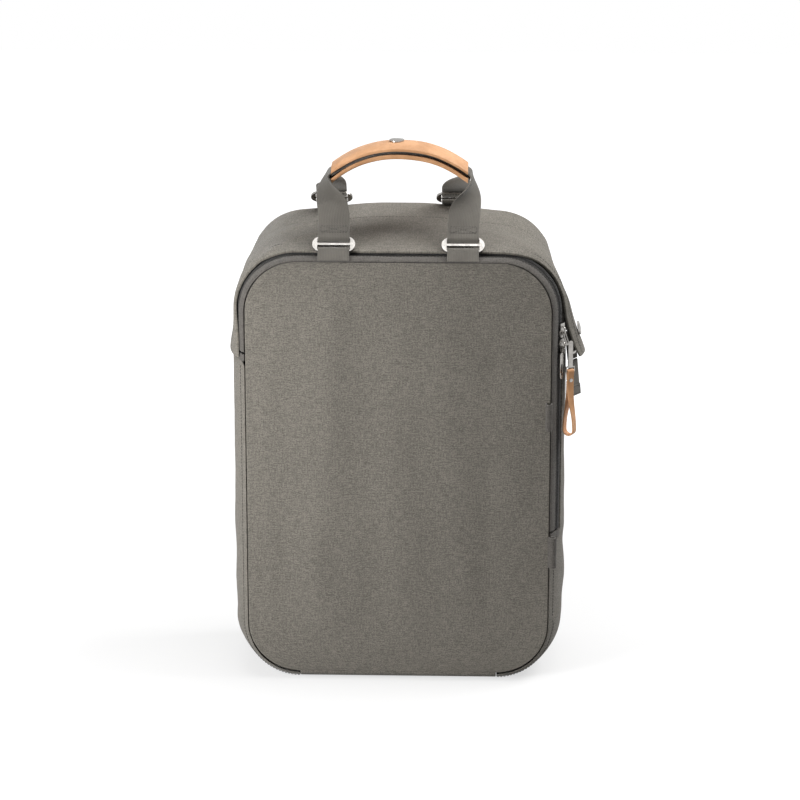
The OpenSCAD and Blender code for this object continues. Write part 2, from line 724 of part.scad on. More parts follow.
// A front tab comes out of the seam, turns round the ring's lower bar and goes back into the seam
tab_foot_r = web_t * 0.55;       // its two layers lie on each other in the seam
module tab_loop(around_bar, at_foot) {
  hull() {
    translate([front_bar[1], front_bar[2]]) circle(r = around_bar);
    translate([y_front + 0.1, z_seam_hi + tab_foot_r + seam_gap]) circle(r = at_foot);
  }
}
module front_tab_left() {
  color(webbing)
    translate([front_bar[0] - web_w / 2, 0, 0])
      rotate([90, 0, 90])
        linear_extrude(web_w)
          difference() {
            tab_loop(wrap_r + web_t / 2, tab_foot_r);
            tab_loop(wrap_r - web_t / 2, 0.1);
          }
}
module front_tab_right() {
  mirror([1, 0, 0]) front_tab_left();
}
tab_rear_z = z_seam_hi + top_rise - 12;      // lower end of the rear tabs
tab_rear = concat(
  [[rear_bar[0], y_back + 4.4, tab_rear_z]],
  [[rear_bar[0], y_back + 4.4, z_seam_hi + top_rise - 1]],
  [for (a = [90 : -30 : -60]) rear_at(wrap_r * cos(a), wrap_r * sin(a))]);
module rear_tab_left() {
  color(webbing)
    translate([-rear_shift, 0, 0])
      ribbon([for (p = tab_rear) with_side(p, 0)], web_w, web_t);
}
module rear_tab_right() {
  color(webbing)
    translate([-rear_shift, 0, 0])
      mirror([1, 0, 0])
        ribbon([for (p = tab_rear) with_side(p, 0)], web_w, web_t);
}

// The grip is an arch; the two handles lie in it one on the other
function arch(x) = grip_z - grip_drop * pow(abs(x) / (grip_len / 2), 2.2);
rear_web_z = leather_t + 0.9 + web_t / 2;
front_web_z = rear_web_z + web_t + 0.4;

// A leg of a handle leaves its ring flat and turns a quarter turn on the way up to the end of the
// grip. A point is [x, y, z, side angle, share of the way up]. It bows out by its own width, and
// starts to turn at its own share of the way.
grip_end = grip_len / 2;
function leg(from, to, out, way, start) = [for (i = [1 : 8]) let (f = i / 8) [
  mix(from[0], to[0], pow(f, 1.6)) - out * sin(180 * f * f),
  mix(from[1], to[1], f),
  mix(from[2], to[2], f + 0.22 * f * (1 - f)),
  way * 90 * ease((f - start) / 0.8), f]];
function flat_point(p) = [p[0], p[1], p[2], 0, 0];
front_top = 2 * bar_step;
tuck = 12;                       // length of webbing turned back round a ring
rear_tuck = 5;
front_bow = 6.5;
rear_bow = 1.6;
front_turn_at = 0.16;
rear_turn_at = -0.02;
front_foot = front_at(front_top + tuck, wrap_r + 0.3);
rear_foot = rear_at(front_top + rear_tuck, wrap_r + 0.3);
front_exit = [-grip_end - 3.2, -1.6, arch(grip_end) + front_web_z - 0.8];
rear_exit = [-grip_end - 1.4, 1.2, arch(grip_end) + rear_web_z - 0.5];
front_leg = concat(
  [flat_point(front_at(front_top + tuck, -wrap_r))],
  [for (a = [270 : -30 : 90]) flat_point(front_at(front_top + wrap_r * cos(a), wrap_r * sin(a)))],
  [flat_point(front_foot)], leg(front_foot, front_exit, front_bow, -1, front_turn_at));
rear_leg = concat(
  [flat_point(rear_at(front_top + rear_tuck, -wrap_r))],
  [for (a = [270 : -30 : 90]) flat_point(rear_at(front_top + wrap_r * cos(a), wrap_r * sin(a)))],
  [flat_point(rear_foot)], leg(rear_foot, rear_exit, rear_bow, 1, rear_turn_at));
arch_x = grip_end - 3;
function arch_run(lift, side) =
  [for (i = [0 : 14]) let (x = mix(-arch_x, arch_x, i / 14)) [x, 0, arch(x) + lift, side, 1]];
function handle_path(leg, lift, turn, shift) = concat(
  [for (p = leg) [p[0] - shift * (1 - ease(p[4] * 1.25)), p[1], p[2], p[3]]],
  arch_run(lift, turn),
  [for (i = [len(leg) - 1 : -1 : 0]) let (p = leg[i])
    [-p[0] - shift * (1 - ease(p[4] * 1.25)), p[1], p[2], 2 * turn - p[3]]]);
module front_handle() {
  color(webbing) ribbon(handle_path(front_leg, front_web_z, -90, 0), web_w, web_t);
}
module rear_handle() {
  color(webbing) ribbon(handle_path(rear_leg, rear_web_z, 90, rear_shift), web_w, web_t);
}

// Each half of the grip is a profile swept along the arch. A row of a profile is the outer point
// and the inner one, each as [share of half the width, height]. The lower half's front edge turns up.
grip_stations = [for (i = [-8 : 8]) i / 8 * grip_len / 2];
fold_y = grip_w / 2;
fold_in = 1 - leather_t / fold_y;
lip = 5;                         // height of the edge
fold_z = 5.6;                    // height at which the two halves meet at the back
crown_z = 13.6;                  // height of the upper half's middle
lower_profile = [
  [-1, lip, -fold_in, lip], [-0.97, 2.2, 0.01 - fold_in, 3.4], [-0.86, 0.5, -0.76, leather_t + 0.3],
  [-0.6, 0, -0.58, leather_t], [0, 0, 0, leather_t], [0.6, 0, 0.6, leather_t],
  [0.86, 0.7, 0.86, leather_t + 0.5]];
upper_profile = [for (p = [[-1, 9.6], [-0.6, 12.6], [0, crown_z], [0.6, 12.2], [0.88, 9.2]])
  [p[0], p[1], p[0], p[1] - leather_t]];
module grip_half(profile, edge_z) {
  rows = concat(profile, [[1, edge_z, fold_in, edge_z]]);
  color(leather)
    sheet(
      [for (x = grip_stations) [for (c = rows) [x, c[0] * fold_y, arch(x) + c[1]]]],
      [for (x = grip_stations) [for (c = rows) [x, c[2] * fold_y, arch(x) + c[3]]]]);
}
module grip_lower() { grip_half(lower_profile, fold_z); }
module grip_upper() { grip_half(upper_profile, fold_z + seam_gap); }

stud_r = 2;
snap_x = -3;
cap_h = 2;
grip_top = grip_z + crown_z;
module snap_cap(d, h) {
  rotate_extrude()
    intersection() {
      translate([0, h - 2 * d]) circle(r = 2 * d, $fn = 96);
      square([d / 2, h]);
    }
}
module grip_snap_cap() {
  color(steel)
    translate([snap_x, 0, grip_top + 0.1])
      snap_cap(cap_d, cap_h);
}
stud_low = grip_z + front_web_z + web_t / 2 + 0.1;
module grip_snap_stud() {
  color(steel)
    translate([snap_x, 0, stud_low])
      union() {
        cylinder(r = 4.5, h = 0.8);
        cylinder(r = stud_r, h = grip_top - leather_t - stud_low - 1.5);
      }
}

// ---- Snap strap under the hood's free corner ----

strap_t = 2;
strap_turn = 55;
strap_x = half_w + hood_flare + 4;
strap_lean = 8;                  // its loose end hangs a little to the right
strap_y = y_front + zip_q + 11.8;
strap_fold_z = hood_z - 5;
strap_root_h = 16;
strap_tuck_h = 29;               // height of the end that is sewn into the hood
root_slope = 0.115;              // it comes out from under the hood at this slope
module at_strap(z) {
  translate([strap_x, strap_y, z]) rotate([0, 0, strap_turn]) children();
}
module snap_strap_root() {
  color(webbing)
    ribbon([
      [strap_x - root_slope * strap_tuck_h, strap_y, strap_fold_z + strap_tuck_h, strap_turn],
      [strap_x - root_slope * strap_root_h, strap_y, strap_fold_z + strap_root_h, strap_turn],
      [strap_x, strap_y, strap_fold_z + 0.3, strap_turn]], strap_w, strap_t);
}
strap_drop = seam_gap + strap_w / 2 * sin(strap_lean);
module snap_strap_end() {
  hem = 11;
  color(webbing)
    at_strap(strap_fold_z)
      rotate([0, -strap_lean, 0])
        translate([-strap_w / 2, -strap_t / 2, -strap_l - strap_drop]) {
          cube([strap_w, strap_t, strap_l]);
          translate([0, -0.8, 0]) cube([strap_w, 1, hem]);
        }
}
small_snap_r = 5;
module snap_strap_stud() {
  color(steel)
    at_strap(strap_fold_z + strap_root_h * 0.7)
      translate([-0.9, -strap_t / 2 - 0.4, 0])
        rotate([90, 0, 0])
          snap_cap(2 * small_snap_r, 1.6);
}
module snap_strap_socket() {
  color(steel)
    at_strap(strap_fold_z - strap_l * 0.62)
      translate([strap_l * 0.62 * sin(strap_lean), strap_t / 2 + 0.1, 0])
        rotate([-90, 0, 0])
          difference() {
            cylinder(r = small_snap_r, h = 1.8);
            translate([0, 0, 0.8]) cylinder(r = stud_r, h = 2);
          }
}
hood_snap_z = hood_z + 24;
hood_snap_q = zip_q + 19.5;
module hood_snap_cap() {
  function at(dz, dq) = hood_point([corner_x, hood_snap_z + dz, 0], hood_snap_q + dq, hood_out);
  n = unit(cross(at(0, 6) - at(0, -6), at(6, 0) - at(-6, 0)));
  color(steel)
    translate(at(0, 0) + n * seam_gap)
      rotate([0, acos(n[2]), atan2(n[1], n[0])])
        snap_cap(cap_d - 1, 2.4);
}

// ---- Shoulder straps on the back ----

anchor_t = 2;
yoke_t = 2.4;
back_out = y_back + back_skin_t + 0.2;       // outer face of the back panel
yoke_y = back_out + gap;
pad_top_y = yoke_y + yoke_t + 0.4 + pad_t / 2;
pad_top = [38, z_seam_hi + 6];   // x and z of a strap's upper end
pad_run = 58;                    // how far its lower end lies further out
// Shares of the run, the swell and the drop
pad_shape = [
  [0, 0, 0], [0.035, 0.26, 0.072], [0.14, 0.52, 0.173], [0.31, 0.78, 0.317],
  [0.52, 0.96, 0.496], [0.72, 1, 0.676], [0.88, 0.89, 0.838], [1, 0.7, 1]];
pad_path = [for (p = pad_shape) [
  pad_top[0] + pad_run * p[0], pad_top_y + pad_swell * p[1], pad_top[1] - (pad_drop + 6) * p[2]]];
pad_end = pad_path[len(pad_path) - 1];
pad_dir = tangent(pad_path, len(pad_path) - 1);
module pad_strap() {
  taper = [0.72, 0.86, 0.96, 1, 1, 1, 0.94, 0.62];
  function edge(i, side, face) = let (
      t = tangent(pad_path, i),
      n = unit(cross([1, 0, 0], t))
    ) pad_path[i] + cross(t, n) * side * pad_w / 2 * taper[i]
      + n * face * pad_t / 2 * (abs(side) == 1 ? 0.5 : 1);
  color(canvas_dark)
    sheet(
      [for (i = [0 : len(pad_path) - 1]) [for (s = [1, 0.7, -0.7, -1]) edge(i, s, 1)]],
      [for (i = [0 : len(pad_path) - 1]) [for (s = [1, 0.7, -0.7, -1]) edge(i, s, -1)]]);
}
module left_side() { mirror([1, 0, 0]) children(); }
module shoulder_strap_right() { pad_strap(); }
module shoulder_strap_left() { left_side() pad_strap(); }

// The lock hangs in line with the padded strap; the webbing runs up behind it from the anchor
lock_t = 3.4;
lock_slot = 4;
lock_bar = 3;
lock_side = 4;
lock_h = 3 * lock_slot + 4 * lock_bar;
lock_mid = pad_end + pad_dir * (0.4 + lock_h / 2);
module ladder_lock() {
  color([0.12, 0.12, 0.12])
    translate(lock_mid)
      rotate([asin(pad_dir[1]), -asin(pad_dir[0] / cos(asin(pad_dir[1]))), 0])
        rotate([90, 0, 0])
          linear_extrude(lock_t, center = true)
            difference() {
              square([low_w + 2 * lock_side, lock_h], center = true);
              for (i = [-1 : 1])
                translate([0, i * (lock_slot + lock_bar)])
                  square([low_w + 1, lock_slot], center = true);
            }
}
module ladder_lock_right() { ladder_lock(); }
module ladder_lock_left() { left_side() ladder_lock(); }
anchor_x = half_w - 29;          // where the webbing is sewn to its anchor
anchor_low = 34;
anchor_h = 28;
anchor_l = 40;
web_back = lock_t / 2 + 0.4 + web_t / 2;
web_from = pad_end + pad_dir * 2.5 - [0, web_back, 0];
web_to = [anchor_x, yoke_y + anchor_t + 0.3 + web_t / 2, anchor_low + 12];
function web_at(along, out, down) = [
  mix(web_from[0], web_to[0], along), mix(web_from[1], web_to[1], out), mix(web_from[2], web_to[2], down)];
web_path = [
  web_from, web_from + pad_dir * (lock_h + 4), web_at(0.55, 0.55, 0.53), web_at(0.85, 0.9, 0.79),
  web_to + [0, 0.1, 12], web_to];
module low_webbing() { color(webbing) ribbon([for (p = web_path) with_side(p, 0)], low_w, web_t); }
module strap_webbing_right() { low_webbing(); }
module strap_webbing_left() { left_side() low_webbing(); }

yoke_top = tab_rear_z - 1.5;
yoke_w = 144;
yoke_h = 24;
yoke_taper = 6;
module strap_yoke() {
  color(canvas_dark)
    translate([0, yoke_y + yoke_t, 0])
      rotate([90, 0, 0])
        linear_extrude(yoke_t)
          polygon([
            [-yoke_w / 2, yoke_top], [yoke_w / 2, yoke_top],
            [yoke_w / 2 - yoke_taper, yoke_top - yoke_h], [yoke_taper - yoke_w / 2, yoke_top - yoke_h]]);
}
module lower_anchor() {
  color(canvas_dark)
    translate([0, yoke_y + anchor_t, 0])
      rotate([90, 0, 0])
        linear_extrude(anchor_t)
          translate([half_w - 2, anchor_low])
            polygon([[0, 0], [0, anchor_h], [-anchor_l, anchor_h - 2], [-anchor_l, 6]]);
}
module lower_anchor_right() { lower_anchor(); }
module lower_anchor_left() { left_side() lower_anchor(); }

front_panel();
front_foot_panel();
front_lining();
zip_strip();
zip_tape_front();
zip_tape_body();
zip_end_left();
zip_end_right();
hood();
top_gusset();
gusset_left();
gusset_right();
bottom_panel();
bottom_board();
back_panel();
back_foam();
body_lining();
laptop_sleeve();
inner_pocket();
side_loop_upper();
side_loop_lower();
slider_upper();
slider_lower();
pull_upper();
pull_lower();
leather_pull();
leather_pull_rivet();
front_tab_left();
front_tab_right();
rear_tab_left();
rear_tab_right();
front_ring_left();
front_ring_right();
rear_ring_left();
rear_ring_right();
front_handle();
rear_handle();
grip_lower();
grip_upper();
grip_snap_cap();
grip_snap_stud();
snap_strap_root();
snap_strap_end();
snap_strap_stud();
snap_strap_socket();
hood_snap_cap();
shoulder_strap_left();
shoulder_strap_right();
strap_webbing_left();
strap_webbing_right();
ladder_lock_left();
ladder_lock_right();
strap_yoke();
lower_anchor_left();
lower_anchor_right();
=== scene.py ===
"""Canvas daypack: the visual model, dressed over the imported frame.

Every piece is built in millimetres in the frame's own axes (+Z up, the front panel faces -Y) and
scaled to metres when its mesh is made. UV maps hold real lengths along the cloth, in metres.
"""
import math
from bisect import bisect_left

import bmesh
import bpy
from mathutils import Matrix, Vector, noise


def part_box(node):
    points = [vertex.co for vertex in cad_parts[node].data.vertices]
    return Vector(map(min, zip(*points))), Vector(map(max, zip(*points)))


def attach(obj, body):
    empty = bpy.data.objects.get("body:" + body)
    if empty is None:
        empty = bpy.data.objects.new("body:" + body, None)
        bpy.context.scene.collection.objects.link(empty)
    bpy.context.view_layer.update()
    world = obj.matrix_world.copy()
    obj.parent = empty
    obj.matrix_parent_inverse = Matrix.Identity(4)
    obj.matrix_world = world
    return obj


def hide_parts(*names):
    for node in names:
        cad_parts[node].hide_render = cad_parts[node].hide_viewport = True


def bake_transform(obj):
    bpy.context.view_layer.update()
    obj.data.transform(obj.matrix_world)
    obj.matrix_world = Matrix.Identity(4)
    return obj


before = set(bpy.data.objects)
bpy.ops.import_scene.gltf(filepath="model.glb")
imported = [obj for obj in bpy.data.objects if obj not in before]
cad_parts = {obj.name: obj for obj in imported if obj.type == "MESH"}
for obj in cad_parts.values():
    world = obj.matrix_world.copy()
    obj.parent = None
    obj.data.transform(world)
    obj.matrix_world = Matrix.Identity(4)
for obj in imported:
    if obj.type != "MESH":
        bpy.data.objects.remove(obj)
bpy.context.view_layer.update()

MM = 0.001

# ---- Driving sizes, millimetres ----

HALF_W = 146                     # front seam, half of its width
SEAM_HI = 422                    # top of the front seam
SEAM_LO = 8                      # bottom of the front seam
CLOTH = 2.4
Y_BACK = 65
Y_FRONT = -Y_BACK
DEPTH = Y_BACK - Y_FRONT
CORNER_R = 50
SIDE_BULGE = 14.5
BACK_SPREAD = 8
TOP_RISE = 23
BASE_ROUND = 14
CORNER_X = HALF_W - CORNER_R
CORNER_LO = SEAM_LO + CORNER_R
CORNER_HI = SEAM_HI - CORNER_R
STRIP_W = 9                      # the bevelled band round the front
ZIP_Q = 13.5                     # how far behind the front seam the zip's centre line lies
GUSSET_Q = ZIP_Q + 7.5
ZIP_LEFT_Z = 330                 # the zip's two ends
ZIP_RIGHT_Z = 152
HOOD_Q = ZIP_Q + 4
HOOD_Z = 326                     # lower edge of the hood
WEB_W = 30
WEB_T = 1.6
GAP = 0.4                        # between cloths that lie on each other


def node_box(node):
    low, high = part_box(node)
    return [c / MM for c in low], [c / MM for c in high]


def mix(a, b, f):
    return a + (b - a) * f


def clamp(value, low, high):
    return max(low, min(high, value))


def ease(f):
    f = clamp(f, 0.0, 1.0)
    return f * f * (3 - 2 * f)


def cosd(angle):
    return math.cos(math.radians(angle))


def sind(angle):
    return math.sin(math.radians(angle))


def bump(x, centre, width):
    """A smooth hump of height 1 round a centre."""
    return math.exp(-((x - centre) / width) ** 2)


def ripple(x, y, z, size, seed=0.0):
    """Even noise between about -1 and 1, with features of a given size."""
    return noise.noise(Vector((x / size + seed, y / size, z / size)))


def spread(low, high, step):
    n = max(1, round(abs(high - low) / step))
    return [mix(low, high, i / n) for i in range(n + 1)]


# ---- The bag's outer skin, as in the frame ----

PEAK_Q = DEPTH * 0.48
SHOULDER_SAG = 8                 # the soft upper corners sag by this at the back
SIDE_SAG = 9                     # and the sides below them draw in by this


def side_off(q):
    if q < PEAK_Q:
        return SIDE_BULGE * (1 - max(0.0, 1 - q / PEAK_Q) ** 3.2)
    return mix(SIDE_BULGE, BACK_SPREAD, ((q - PEAK_Q) / (DEPTH - PEAK_Q)) ** 2)


def top_off(q):
    f = clamp(q / DEPTH, 0.0, 1.0)
    return TOP_RISE * (0.35 * (1 - (1 - f) ** 6) + 0.65 * f ** 0.95)


def base_off(q):
    m = max(0.0, min(q, DEPTH - q, BASE_ROUND))
    return SEAM_LO * math.sqrt(1 - (1 - m / BASE_ROUND) ** 2)


def sag(x, z, q):
    """How far the cloth sags inwards at the upper corners."""
    up = max(0.0, z - CORNER_HI)
    aside = 1 - ease((up - 14) / 32)
    start = 8 if x < 0 else GUSSET_Q             # the sliders' channel keeps its place
    return SHOULDER_SAG * ease((q - 16) / 80) * ease((abs(x) - 15) / 100) * ease(up / 52) \
        + SIDE_SAG * aside * ease((q - start) / 36) * ease((z - 324) / 50) * (abs(x) > CORNER_X)


def wall(station, q, e):
    """A point on the skin at a station (xc, zc, angle), q behind the front seam and e outside."""
    xc, zc, angle = station
    c, s = cosd(angle), sind(angle)
    off = side_off(q) * c * c + (top_off(q) if s >= 0 else base_off(q)) * s * s
    r = CORNER_R + off
    r += e - sag(xc + r * c, zc + r * s, q)
    return Vector((xc + r * c, Y_FRONT + q, zc + r * s))


def sagged(obj):
    """Takes the back's upper corners in by the same sag."""
    for v in obj.data.vertices:
        x, z = v.co.x / MM, v.co.z / MM
        out = Vector((x - clamp(x, -CORNER_X, CORNER_X), 0, max(0.0, z - CORNER_HI)))
        if out.length > 1:
            share = min(1.0, out.length / 62) ** 2
            v.co -= out.normalized() * (sag(x, z, DEPTH) * share * MM)


def stations(z_left, z_right, step=5.0, arc_step=3.0):
    """Stations from the left side over the top to the right side."""
    out = []

    def run(n, place):
        out.extend(place(i / n) for i in range(n))

    n_left, n_right = (max(2, round(abs(CORNER_HI - z) / step)) for z in (z_left, z_right))
    n_arc = round(90 / arc_step)
    run(n_left, lambda f: (-CORNER_X, mix(z_left, CORNER_HI, f), 180))
    run(n_arc, lambda f: (-CORNER_X, CORNER_HI, 180 - 90 * f))
    run(round(2 * CORNER_X / step), lambda f: (mix(-CORNER_X, CORNER_X, f), CORNER_HI, 90))
    run(n_arc, lambda f: (CORNER_X, CORNER_HI, 90 * (1 - f)))
    run(n_right, lambda f: (CORNER_X, mix(CORNER_HI, z_right, f), 0))
    return out + [(CORNER_X, z_right, 0)]


# ---- Meshes ----

HOLD = 0.7                       # rows this near to a rim keep it in place when it is subdivided


def shade_smooth(mesh):
    mesh.polygons.foreach_set("use_smooth", [True] * len(mesh.polygons))
    mesh.update()


def make_object(name, verts, faces, material, uvs=None):
    """A smooth object from points in millimetres, with its faces turned outwards."""
    mesh = bpy.data.meshes.new(name)
    mesh.from_pydata([Vector(v) * MM for v in verts], [], faces)
    if uvs:
        layer = mesh.uv_layers.new(name="UVMap")
        for loop in mesh.loops:
            layer.data[loop.index].uv = uvs[loop.vertex_index]
    mesh.materials.append(material)
    shade_smooth(mesh)
    obj = bpy.data.objects.new(name, mesh)
    bpy.context.scene.collection.objects.link(obj)
    bm = bmesh.new()
    bm.from_mesh(mesh)
    bmesh.ops.recalc_face_normals(bm, faces=bm.faces)
    bm.to_mesh(mesh)
    bm.free()
    return obj


def bake_modifiers(obj):
    """Applies an object's modifiers to its mesh."""
    graph = bpy.context.evaluated_depsgraph_get()
    mesh = bpy.data.meshes.new_from_object(obj.evaluated_get(graph))
    obj.modifiers.clear()
    obj.data = mesh


def subdivide(obj):
    modifier = obj.modifiers.new("smooth", "SUBSURF")
    modifier.levels = modifier.render_levels = 1
    modifier.uv_smooth = "PRESERVE_BOUNDARIES"
    bake_modifiers(obj)


def path_lengths(points):
    total, out = 0.0, [0.0]
    for a, b in zip(points, points[1:]):
        total += (b - a).length
        out.append(total)
    return out


def follow(points, normals):
    """A line's length, and a function for place, normal and direction at a distance along it."""
    lengths = path_lengths(points)

    def at(d):
        i = bisect_left(lengths, d, 1, len(lengths) - 1) - 1
        f = (d - lengths[i]) / max(1e-9, lengths[i + 1] - lengths[i])
        return (points[i].lerp(points[i + 1], f), normals[i].lerp(normals[i + 1], f).normalized(),
                (points[i + 1] - points[i]).normalized())

    return lengths[-1], at


def heading(points, i):
    """The way along a line of points at one of them."""
    return points[min(i + 1, len(points) - 1)] - points[max(i - 1, 0)]


def circle(n):
    return [(math.cos(2 * math.pi * k / n), math.sin(2 * math.pi * k / n)) for k in range(n)]


def bridge(faces, a, b):
    """Closes the band between two rings of vertices."""
    for i in range(len(a)):
        j = (i + 1) % len(a)
        faces.append((a[i], a[j], b[j], b[i]))


def held(outer, inner):
    """Adds a row near the first and the last row of both grids."""
    for rows in (outer, inner):
        for end, beside, place in ((0, 1, 1), (-1, -2, -1)):
            pairs = list(zip(rows[end], rows[beside]))
            gap = sum((a - b).length for a, b in pairs) / len(pairs)
            share = min(0.5, HOLD / max(gap, 1e-6))
            rows.insert(place, [a.lerp(b, share) for a, b in pairs])
    return outer, inner


def transposed(rows):
    return [list(column) for column in zip(*rows)]


def cloth_grid(name, outer, inner, material, soft=True, turned=False):
    """A closed cloth between two grids of points; a soft one is subdivided, with round rims."""
    if soft:
        outer, inner = held(outer, inner)
        outer, inner = map(transposed, held(transposed(outer), transposed(inner)))
    n, m = len(outer), len(outer[0])
    k = n * m
    across = path_lengths(outer[n // 2])
    along = path_lengths([row[m // 2] for row in outer])
    uvs = [(v * MM, u * MM) if turned else (u * MM, v * MM) for u in along for v in across] * 2
    faces = []
    for i in range(n - 1):
        a, b = i * m, (i + 1) * m
        for j in range(m - 1):
            faces += [(a + j, b + j, b + j + 1, a + j + 1),
                      (k + a + j, k + a + j + 1, k + b + j + 1, k + b + j)]
        e, f = a + m - 1, b + m - 1
        faces += [(a, k + a, k + b, b), (e, f, k + f, k + e)]
    for j in range(m - 1):
        r = (n - 1) * m + j
        faces += [(j, j + 1, k + j + 1, k + j), (r, k + r, k + r + 1, r + 1)]
    verts = [p for rows in (outer, inner) for row in rows for p in row]
    obj = make_object(name, verts, faces, material, uvs)
    if soft:
        subdivide(obj)
    return obj


def cloth_from(name, us, vs, place, material, **options):
    """A cloth whose points come from place(u, v, depth), with depth 0 outside and 1 inside."""
    grids = ([[place(u, v, depth) for v in vs] for u in us] for depth in (0, 1))
    return cloth_grid(name, *grids, material, **options)


def spline(points, steps):
    """Points along a smooth curve through the given points of any dimension."""
    out = []
    last = len(points) - 1
    for i in range(last):
        ends = [points[clamp(i + k, 0, last)] for k in (-1, 0, 1, 2)]
        for s in range(steps):
            t = s / steps
            out.append([0.5 * (2 * b + (c - a) * t + (2 * a - 5 * b + 4 * c - d) * t * t
                               + (3 * b - a - 3 * c + d) * t ** 3) for a, b, c, d in zip(*ends)])
    out.append(list(points[-1]))
    return out


def ribbon(name, path, width, thick, material, columns=8, crown=0.0):
    """Webbing along a path of [x, y, z, side angle], slightly thicker in its middle."""
    places = [Vector(p[:3]) for p in path]
    outer, inner = [], []
    for i, p in enumerate(path):
        side = Vector((cosd(p[3]), sind(p[3]), 0))
        normal = side.cross(heading(places, i)).normalized()
        for rows, face in ((outer, 1), (inner, -1)):
            rows.append([places[i] + side * (f * width / 2)
                         + normal * (face * (thick / 2 + crown * (1 - f * f)))
                         for f in (-1 + 2 * j / columns for j in range(columns + 1))])
    return cloth_grid(name, outer, inner, material)


def paint_rim(obj):
    """Paints the rim attribute: 1 on the cloth's raw or folded edges.

    The sharp turns of a mesh are its edges, so a vertex counts when its faces disagree.
    """
    mesh = obj.data
    bm = bmesh.new()
    bm.from_mesh(mesh)
    values = []
    for v in bm.verts:
        faces = v.link_faces
        least = min((a.normal.dot(b.normal) for a in faces for b in faces), default=1)
        values.append(clamp((0.86 - least) / 0.6, 0.0, 1.0))
    bm.free()
    mesh.attributes.new("rim", "FLOAT", "POINT").data.foreach_set("value", values)


def finish(obj, slot, body, *nodes):
    """Gives a piece its rims, hides the CAD nodes it stands for, and attaches it to its body if it
    rides. The slot is not used.
    """
    paint_rim(obj)
    if nodes:
        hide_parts(*nodes)
    if body:
        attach(obj, body)
    return obj


def fill_slots(obj, material):
    """Gives a CAD node one material."""
    if not obj.data.materials:
        obj.data.materials.append(material)
    for index in range(len(obj.data.materials)):
        obj.data.materials[index] = material


# ---- Thread ----

STITCH = 3.2
THREAD = 0.6
STITCH_GAP = 0.7
# Along a stitch: share of its length, rise and thickness, so that both of its ends sink
BEAD = ((0, -0.25, 0.5), (0.2, 0.1, 1), (0.5, 0.2, 1.05), (0.8, 0.1, 1), (1, -0.25, 0.5))
BEAD_SIDES = circle(5)


class Thread:
    """Collects the stitches that ride on one body and makes them one piece."""

    def __init__(self, name, body):
        self.name, self.body = name, body
        self.verts, self.faces = [], []

    def line(self, points, normals, pitch=STITCH, thick=THREAD):
        """Adds a run of stitches along a line of points with a normal at each."""
        total, at = follow(points, normals)
        count = max(1, int(total / pitch))
        step = total / count
        for k in range(count):
            start = k * step + STITCH_GAP / 2
            rings = []
            for share, rise, size in BEAD:
                spot = start + share * (step - STITCH_GAP)
                place, up = at(spot)[:2]
                ahead = at(min(total, spot + 0.05))[0] - place
                if ahead.length < 1e-6:
                    ahead = place - at(start)[0]
                side = up.cross(ahead).normalized()
                first = len(self.verts)
                rings.append(range(first, first + len(BEAD_SIDES)))
                self.verts += [place + up * (rise * thick)
                               + (side * c + up * s) * (thick / 2 * size) for c, s in BEAD_SIDES]
            for a, b in zip(rings, rings[1:]):
                bridge(self.faces, a, b)
            self.faces += [tuple(reversed(rings[0])), tuple(rings[-1])]

    def make(self):
        obj = make_object(self.name, self.verts, self.faces, THREAD_TONE)
        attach(obj, self.body)


# ---- Materials: every one is built from nodes, with its real thread or grain size ----


def srgb(*display):
    """A linear colour from 0-255 display values."""
    return tuple(c / 255 / 12.92 if c <= 10 else ((c / 255 + 0.055) / 1.055) ** 2.4
                 for c in display) + (1.0,)


def toned(tone, share):
    return tuple(min(1.0, c * share) for c in tone[:3]) + (1.0,)


class Nodes:
    """The nodes of a material or a world."""

    def __init__(self, tree):
        self.tree = tree

    def feed(self, socket, value):
        """Links an output to an input, or sets the input's constant."""
        if isinstance(value, bpy.types.NodeSocket):
            self.tree.links.new(value, socket)
        else:
            socket.default_value = value

    def add(self, kind, values, output=0, **settings):
        """A node with its input values or links, and one of its outputs."""
        node = self.tree.nodes.new("ShaderNode" + kind)
        for key, value in settings.items():
            setattr(node, key, value)
        for key, value in values.items():
            self.feed(node.inputs[key], value)
        return node.outputs[output]

    def seen_as(self, plain, other, output):
        """Shows the other shader to the camera's, reflected and transmitted rays only."""
        seen = self.add("LightPath", {}, "Is Camera Ray")
        for name in ("Is Glossy Ray", "Is Transmission Ray"):
            seen = self.add("Math", {0: seen, 1: self.add("LightPath", {}, name)},
                            operation="MAXIMUM")
        self.feed(self.tree.nodes[output].inputs[0],
                  self.add("MixShader", {0: seen, 1: plain, 2: other}))


